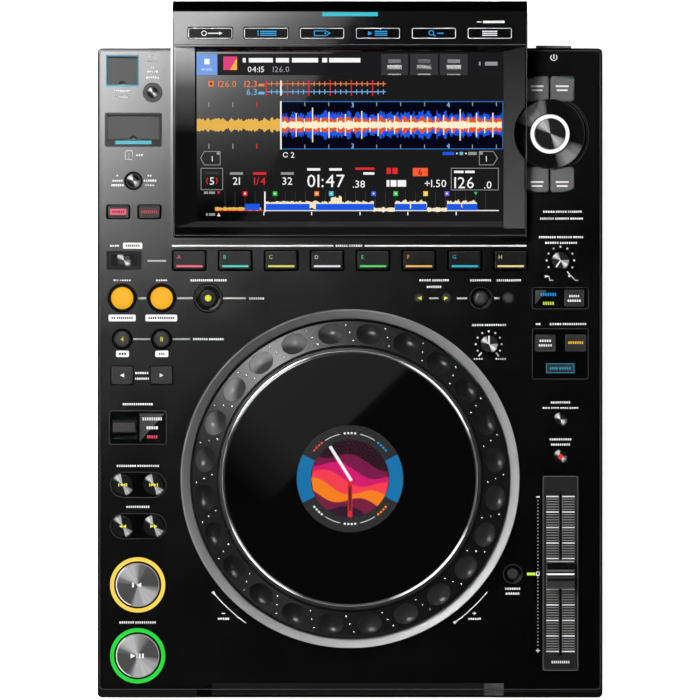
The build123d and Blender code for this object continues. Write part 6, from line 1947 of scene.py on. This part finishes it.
@dataclass
class RightKeys:
    """Legends of the browse, mode, sync, memory and tempo keys, and the dials' pointers."""

    def browse(self) -> None:
        """Draws the browse keys' dashes and painted highlight arcs round the selector."""
        art = key_art("browse_legends", PAD_TOP)
        x, y = 130, 140.6
        for side_x in (-1, 1):
            for side_y in (-1, 1):
                for row, width in ((0, 8.4), (-2.6, 7)):
                    art.block(x + side_x * 8.2, y + side_y * 31.2 + row, width, 1.1, INK_WHITE)
        art.make("browse_keys")
        rings = key_art("selector_arcs", DECK_Z)
        rings.arc(x, y, 24.4, 0.5, -62, 62, RIM_HIGHLIGHT_SOFT)
        rings.arc(x, y, 25.6, 0.3, -50, 50, RIM_HIGHLIGHT_LINE)
        rings.make("case", "light")

    def selector(self) -> None:
        """Draws a painted highlight ring and a fine dark ring on the selector's disc."""
        art = key_art("selector_disc_lines", DISC_TOP)
        art.arc(*SELECTOR_SPOT, 22.5, 0.4, 0, 360, RIM_HIGHLIGHT_SOFT)
        art.arc(*SELECTOR_SPOT, 13.3, 0.4, 0, 360, INK_BLACK)
        art.make("case", "bezel")

    def mode(self) -> None:
        """Draws the jog-mode window with its painted sheen, the key with its painted highlight frame, and
        painted highlight lines and crescents round the frames and round keys.
        """
        art = key_art("mode_window", WINDOW_TOP)
        x, y = MODE_WINDOW_X, 33.8
        # Painted reflection on the window.
        art.poly([(x - 8.6, y - 4), (x - 1, y + 5.2), (x - 8.6, y + 5.2)], WINDOW_SHEEN)
        Caption(x, y + 2.4, (10,), 2, Lit("mode_blue", tone(35, 150, 220), glow=0.9)).draw(art, 0.02)
        Caption(x, y - 3.4, (7,), 2, Lit("mode_lime", tone(205, 232, 80), glow=0.9)).draw(art, 0.02)
        art.make("case", "bezel")
        key = key_art("mode_legend", SQUARE_TOP)
        Caption(146, y + 1.3, (6.4,), 1.3).draw(key)
        Caption(146, y - 1.7, (8.4,), 1.3).draw(key)
        key.frame(139.9, y - 5, 152.1, y + 5, 0.35, EDGE_HIGHLIGHT)
        key.make("jog_mode_button")
        frame = key_art("right_frame_lines", BEZEL_TOP)
        frame.frame(118.8, 26.9, 155.2, 40.7, 0.4, RIM_HIGHLIGHT_LINE, 1.2)
        frame.frame(118.9, -18.9, 155.1, 13.9, 0.4, RIM_HIGHLIGHT_LINE, 1.2)
        frame.arc(85.2, 33.8, 7.1, 0.4, 0, 360, RIM_HIGHLIGHT_LINE)
        frame.arc(85.2, 33.8, 6, 1, -80, -5, RIM_HIGHLIGHT_SOFT)
        frame.arc(*RESET_SPOT, 6.1, 0.4, 0, 360, RIM_HIGHLIGHT_LINE)
        frame.arc(*RESET_SPOT, 5, 1.1, -80, 0, RIM_HIGHLIGHT_SOFT)
        frame.make("case", "bezel")

    def sync(self) -> None:
        """Draws the sync keys' legends."""
        art = key_art("sync_legends", FLAT_TOP)
        amber = Lit("master_amber", tone(245, 190, 60), glow=0.9)
        cyan = Lit("key_sync_cyan", tone(40, 150, 190), glow=0.9)
        Caption(127.2, 6, (7.4,), 1.3).draw(art)
        Caption(127.2, 3, (8.4,), 1.3).draw(art)
        Caption(147, 4.8, (9.6,), 1.6, amber).draw(art)
        Caption(137, -11.9, (5, 7.4), 1.6, cyan).draw(art)
        art.frame(128.1, -14.8, 145.9, -9, 0.4, cyan)
        # Painted highlight frames along the keys' rims.
        for x in (127.2, 147):
            art.frame(x - 6.3, -0.5, x + 6.3, 9.7, 0.35, EDGE_HIGHLIGHT)
        art.make("sync_keys")

    def memory(self) -> None:
        """Draws the call keys' arrows, painted highlight crescents on the memory keys and the reset key, and
        the master lamp.
        """
        art = key_art("call_arrows", ROUND_TOP)
        art.arrow(45.4, 33.8, 2.6, 180, YELLOW_LIGHT)
        art.arrow(62.6, 33.8, 2.6, 0, YELLOW_LIGHT)
        for x, radius in ((45, 3.3), (62.9, 3.3), (85.2, 4.7), (103.2, 3.8)):
            art.arc(x, 33.8, radius * 0.55, 1, 95, 175, RIM_HIGHLIGHT_SOFT)
        art.make("memory_keys")
        lamp = key_art("master_lamp", ROUND_TOP)
        lamp.disc(137.1, -69.5, 1.7, Lit("master_red", tone(225, 60, 62), glow=0.9))
        lamp.arc(*RESET_SPOT, 1.9, 0.9, 95, 175, RIM_HIGHLIGHT_SOFT)
        lamp.make("tempo_keys")

    def pointers(self) -> None:
        """Draws the dials' pointers."""
        for node, spot, turn in (("speed_knob", SPEED_SPOT, 236), ("jog_adjust_knob", ADJUST_SPOT, 90)):
            art = key_art(f"{node}_pointer", KNOB_TOP)
            art.line(spot, polar(*spot, 5.4, turn), 0.9, INK_WHITE)
            art.make(node)

    def build(self) -> None:
        """Builds the right side's legends."""
        for part in (self.browse, self.selector, self.mode, self.sync, self.memory, self.pointers):
            part()


@dataclass
class Fader:
    """Printed lines of the tempo fader's plate, and painted highlight lines on its frame and cap."""

    x: float = 137.1
    row: float = -145.9
    step: float = 10.09
    side: float = 5.1

    def build(self) -> None:
        """Draws the plate's ruled lines from repeats, its painted highlight outline, and the cap's painted
        highlight bands.
        """
        rows: list[Repeat] = []
        fine, foot = self.step / 6, self.row - self.step * 5
        for x in (self.x - self.side, self.x + self.side):
            for count, tall, y, step, ink, lift in (
                (11, 0.75, foot, self.step, INK_WHITE, 0.03), (60, 0.6, foot + fine, fine, INK_GREY, 0.02),
            ):
                rows.append(
                    Repeat(Pattern.ROW, count, (8.2, tall, 0.02), (x, y), ink, step=(0, step), lift=lift)
                )
        repeats("fader_lines", Plane2((0, 0, WINDOW_TOP)), rows, "case", "bezel")
        frame = key_art("fader_frame", WINDOW_TOP)
        frame.frame(self.x - 11.3, -208.6, self.x + 11.3, -82.3, 0.45, RIM_HIGHLIGHT_MID, 1.6)
        Caption(self.x, self.row - 57.4, (11.6,), 1.6).draw(frame)
        frame.make("case", "bezel")
        cap = key_art("slider_lines", KNOB_TOP)
        for shift, width, finish in (
            (0, 1.1, RIM_HIGHLIGHT_WHITE), (8.3, 1, RIM_HIGHLIGHT_BRIGHT), (2.3, 1.3, RIM_HIGHLIGHT_MID), (-2.1, 1.4, RIM_HIGHLIGHT_SOFT),
            (-6.6, 4, RIM_HIGHLIGHT_SOFT), (-9, 0.4, RIM_HIGHLIGHT_MID),
        ):
            cap.block(self.x, self.row + shift, 17.4, width, finish)
        cap.make("tempo_slider")


BUILDERS: list[object] = [
    JogWheel(), ScreenPicture(), MenuStrip(), DeckPrint(), HotCuePads(), LeftKeys(), Transport(), RightKeys(),
    Fader(),
]


# ---------------------------------------------------------------- studio


def stage_sheet(
    name: str, corners: Sequence[Point], height: float, finish: bpy.types.Material
) -> bpy.types.Object:
    """Makes a flat sheet that isn't part of the player.

    Args:
        name: Its name.
        corners: Its corners in plan, in metres, anticlockwise as seen from the side that it faces.
        height: Its height.
        finish: Its material.

    Returns:
        The sheet.
    """
    mesh = bpy.data.meshes.new(name)
    mesh.from_pydata([(x, y, height) for x, y in corners], [], [tuple(range(len(corners)))])
    mesh.materials.append(finish)
    piece = bpy.data.objects.new(name, mesh)
    bpy.context.scene.collection.objects.link(piece)
    return piece


@dataclass(frozen=True)
class Panel:
    """A soft panel overhead, brightest at one corner, in metres."""

    name: str
    corners: tuple[Point, ...]
    peak: float
    peak_at: Point
    run: Point
    base: float
    fades: tuple[tuple[Point, Point], ...] = ()
    height: float = 1.5

    def hang(self) -> None:
        """Hangs the panel where the camera doesn't see it."""
        made, wires = blank_material(self.name)
        place = wires.place()
        away = wires.vector("SUBTRACT", place, (*self.peak_at, self.height))
        drop = wires.vector("DOT_PRODUCT", away, (*self.run, 0))
        glow = wires.math("MINIMUM", wires.math("EXPONENT", drop), 1)
        level = wires.math("ADD", wires.math("MULTIPLY", glow, self.peak), self.base)
        for none, full in self.fades:
            start, end = Vector((*none, 0)), Vector((*full, 0))
            along = (end - start).normalized()
            run = wires.vector("DOT_PRODUCT", place, tuple(along))
            level = wires.math("MULTIPLY", level, wires.spread(run, start.dot(along), end.dot(along), 0, 1))
        light = wires.add("ShaderNodeEmission", Color=grey(1), Strength=level)
        wires.add("ShaderNodeOutputMaterial", Surface=light.outputs[0])
        piece = stage_sheet(self.name, self.corners[::-1], self.height, made)
        piece.visible_camera = False
        piece.visible_transmission = False


@dataclass
class Studio:
    """Pale floor, soft panels, walls of plain light and the camera overhead."""

    camera_height: float = 8.0
    view_width: float = 0.456
    floor_half: float = 40.0
    wall_light: float = 0.7
    wall_swing: float = 0.62

    def floor(self) -> None:
        """Lays the floor, which keeps its shadow and reads white to the camera."""
        made, wires = blank_material("studio_floor")
        base = wires.add(
            "ShaderNodeBsdfPrincipled", Base_Color=grey(0.8), Roughness=0.7, Specular_IOR_Level=0.2
        )
        rays = wires.add("ShaderNodeLightPath")
        seen = wires.math("MAXIMUM", rays.outputs["Is Camera Ray"], rays.outputs["Is Glossy Ray"])
        seen = wires.math("MAXIMUM", seen, rays.outputs["Is Transmission Ray"])
        glow = wires.add("ShaderNodeEmission", Color=grey(1), Strength=wires.math("MULTIPLY", seen, 0.8))
        both = wires.add("ShaderNodeAddShader", None, base.outputs[0], glow.outputs[0])
        wires.add("ShaderNodeOutputMaterial", Surface=both.outputs[0])
        half = self.floor_half
        stage_sheet("studio_floor", ((-half, -half), (half, -half), (half, half), (-half, half)), 0, made)

    def world(self) -> None:
        """Sets walls of light, brighter at the rear left, under a dark ceiling."""
        world = bpy.data.worlds.new("studio_world")
        bpy.context.scene.world = world
        world.use_nodes = True
        world.node_tree.nodes.clear()
        wires = Wiring(world.node_tree)
        place = wires.add("ShaderNodeTexCoord").outputs["Generated"]
        wall = wires.spread(wires.split(place)[2], 0.8, 0.97, 1, 0.01)
        side = wires.vector("DOT_PRODUCT", place, (-0.707, 0.707, 0))
        level = wires.math("MULTIPLY_ADD", side, self.wall_swing / 0.7, self.wall_light)
        level = wires.math("MULTIPLY", wires.math("MAXIMUM", level, 0.08), wall)
        rays = wires.add("ShaderNodeLightPath")
        seen = wires.math("MAXIMUM", rays.outputs["Is Camera Ray"], rays.outputs["Is Transmission Ray"])
        light = wires.add("ShaderNodeBackground", Color=grey(1), Strength=wires.mix_value(seen, level, 1))
        wires.add("ShaderNodeOutputWorld", Surface=light.outputs[0])

    def lamp(self, name: str, place: Point3, size: float, power: float) -> None:
        """Hangs a square lamp, aimed at the object."""
        data = bpy.data.lights.new(name, "AREA")
        data.shape, data.size, data.energy = "SQUARE", size, power
        lamp = bpy.data.objects.new(name, data)
        lamp.location = place
        lamp.rotation_euler = (-Vector(place)).to_track_quat("-Z", "Y").to_euler()
        lamp.visible_camera = False
        bpy.context.scene.collection.objects.link(lamp)

    def camera(self) -> None:
        """Hangs the camera straight over the origin, with a long lens."""
        data = bpy.data.cameras.new("camera")
        data.sensor_width = 36
        data.lens = 36 * (self.camera_height - DECK_Z * MM) / self.view_width
        data.clip_end = 200
        camera = bpy.data.objects.new("camera", data)
        camera.location = (0, 0, self.camera_height)
        bpy.context.scene.collection.objects.link(camera)
        bpy.context.scene.camera = camera

    def build(self) -> None:
        """Sets up the whole studio."""
        bpy.context.scene.view_settings.view_transform = "Standard"
        self.camera()
        self.floor()
        self.world()
        Panel(
            "panel_over_left",
            ((0.161, 0.097), (-0.253, 0.531), (-0.492, 0.303), (-0.078, -0.130)),
            150, (-0.19, 0.2292), (-18, 19), 0.3,
            (((-0.0662, -0.1192), (-0.0307, -0.0855)), ((0.146, 0.084), (0.103, 0.043))),
        ).hang()
        Panel(
            "panel_front_left",
            ((0.0199, -0.43), (-0.35, -0.43), (-0.35, -0.7), (-0.106, -0.7)),
            18, (-0.13, -0.4885), (-21, 31), 0.7,
            (((-0.05, -0.64), (-0.05, -0.56)),),
        ).hang()
        self.lamp("lamp_left", (-1.9, 1.5, 1.3), 1, 9)
        self.lamp("lamp_right", (1.8, -1.2, 1.2), 1.2, 4.5)


# ---------------------------------------------------------------- the whole player


def main() -> None:
    """Builds the studio and dresses the player, piece by piece."""
    logging.basicConfig(level=logging.INFO, format="%(name)s %(message)s")
    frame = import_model()
    Studio().build()
    dress_nodes(frame)
    for builder in BUILDERS:
        builder.build()
        LOG.info("built %s", type(builder).__name__)


if __name__ == "__main__":
    main()
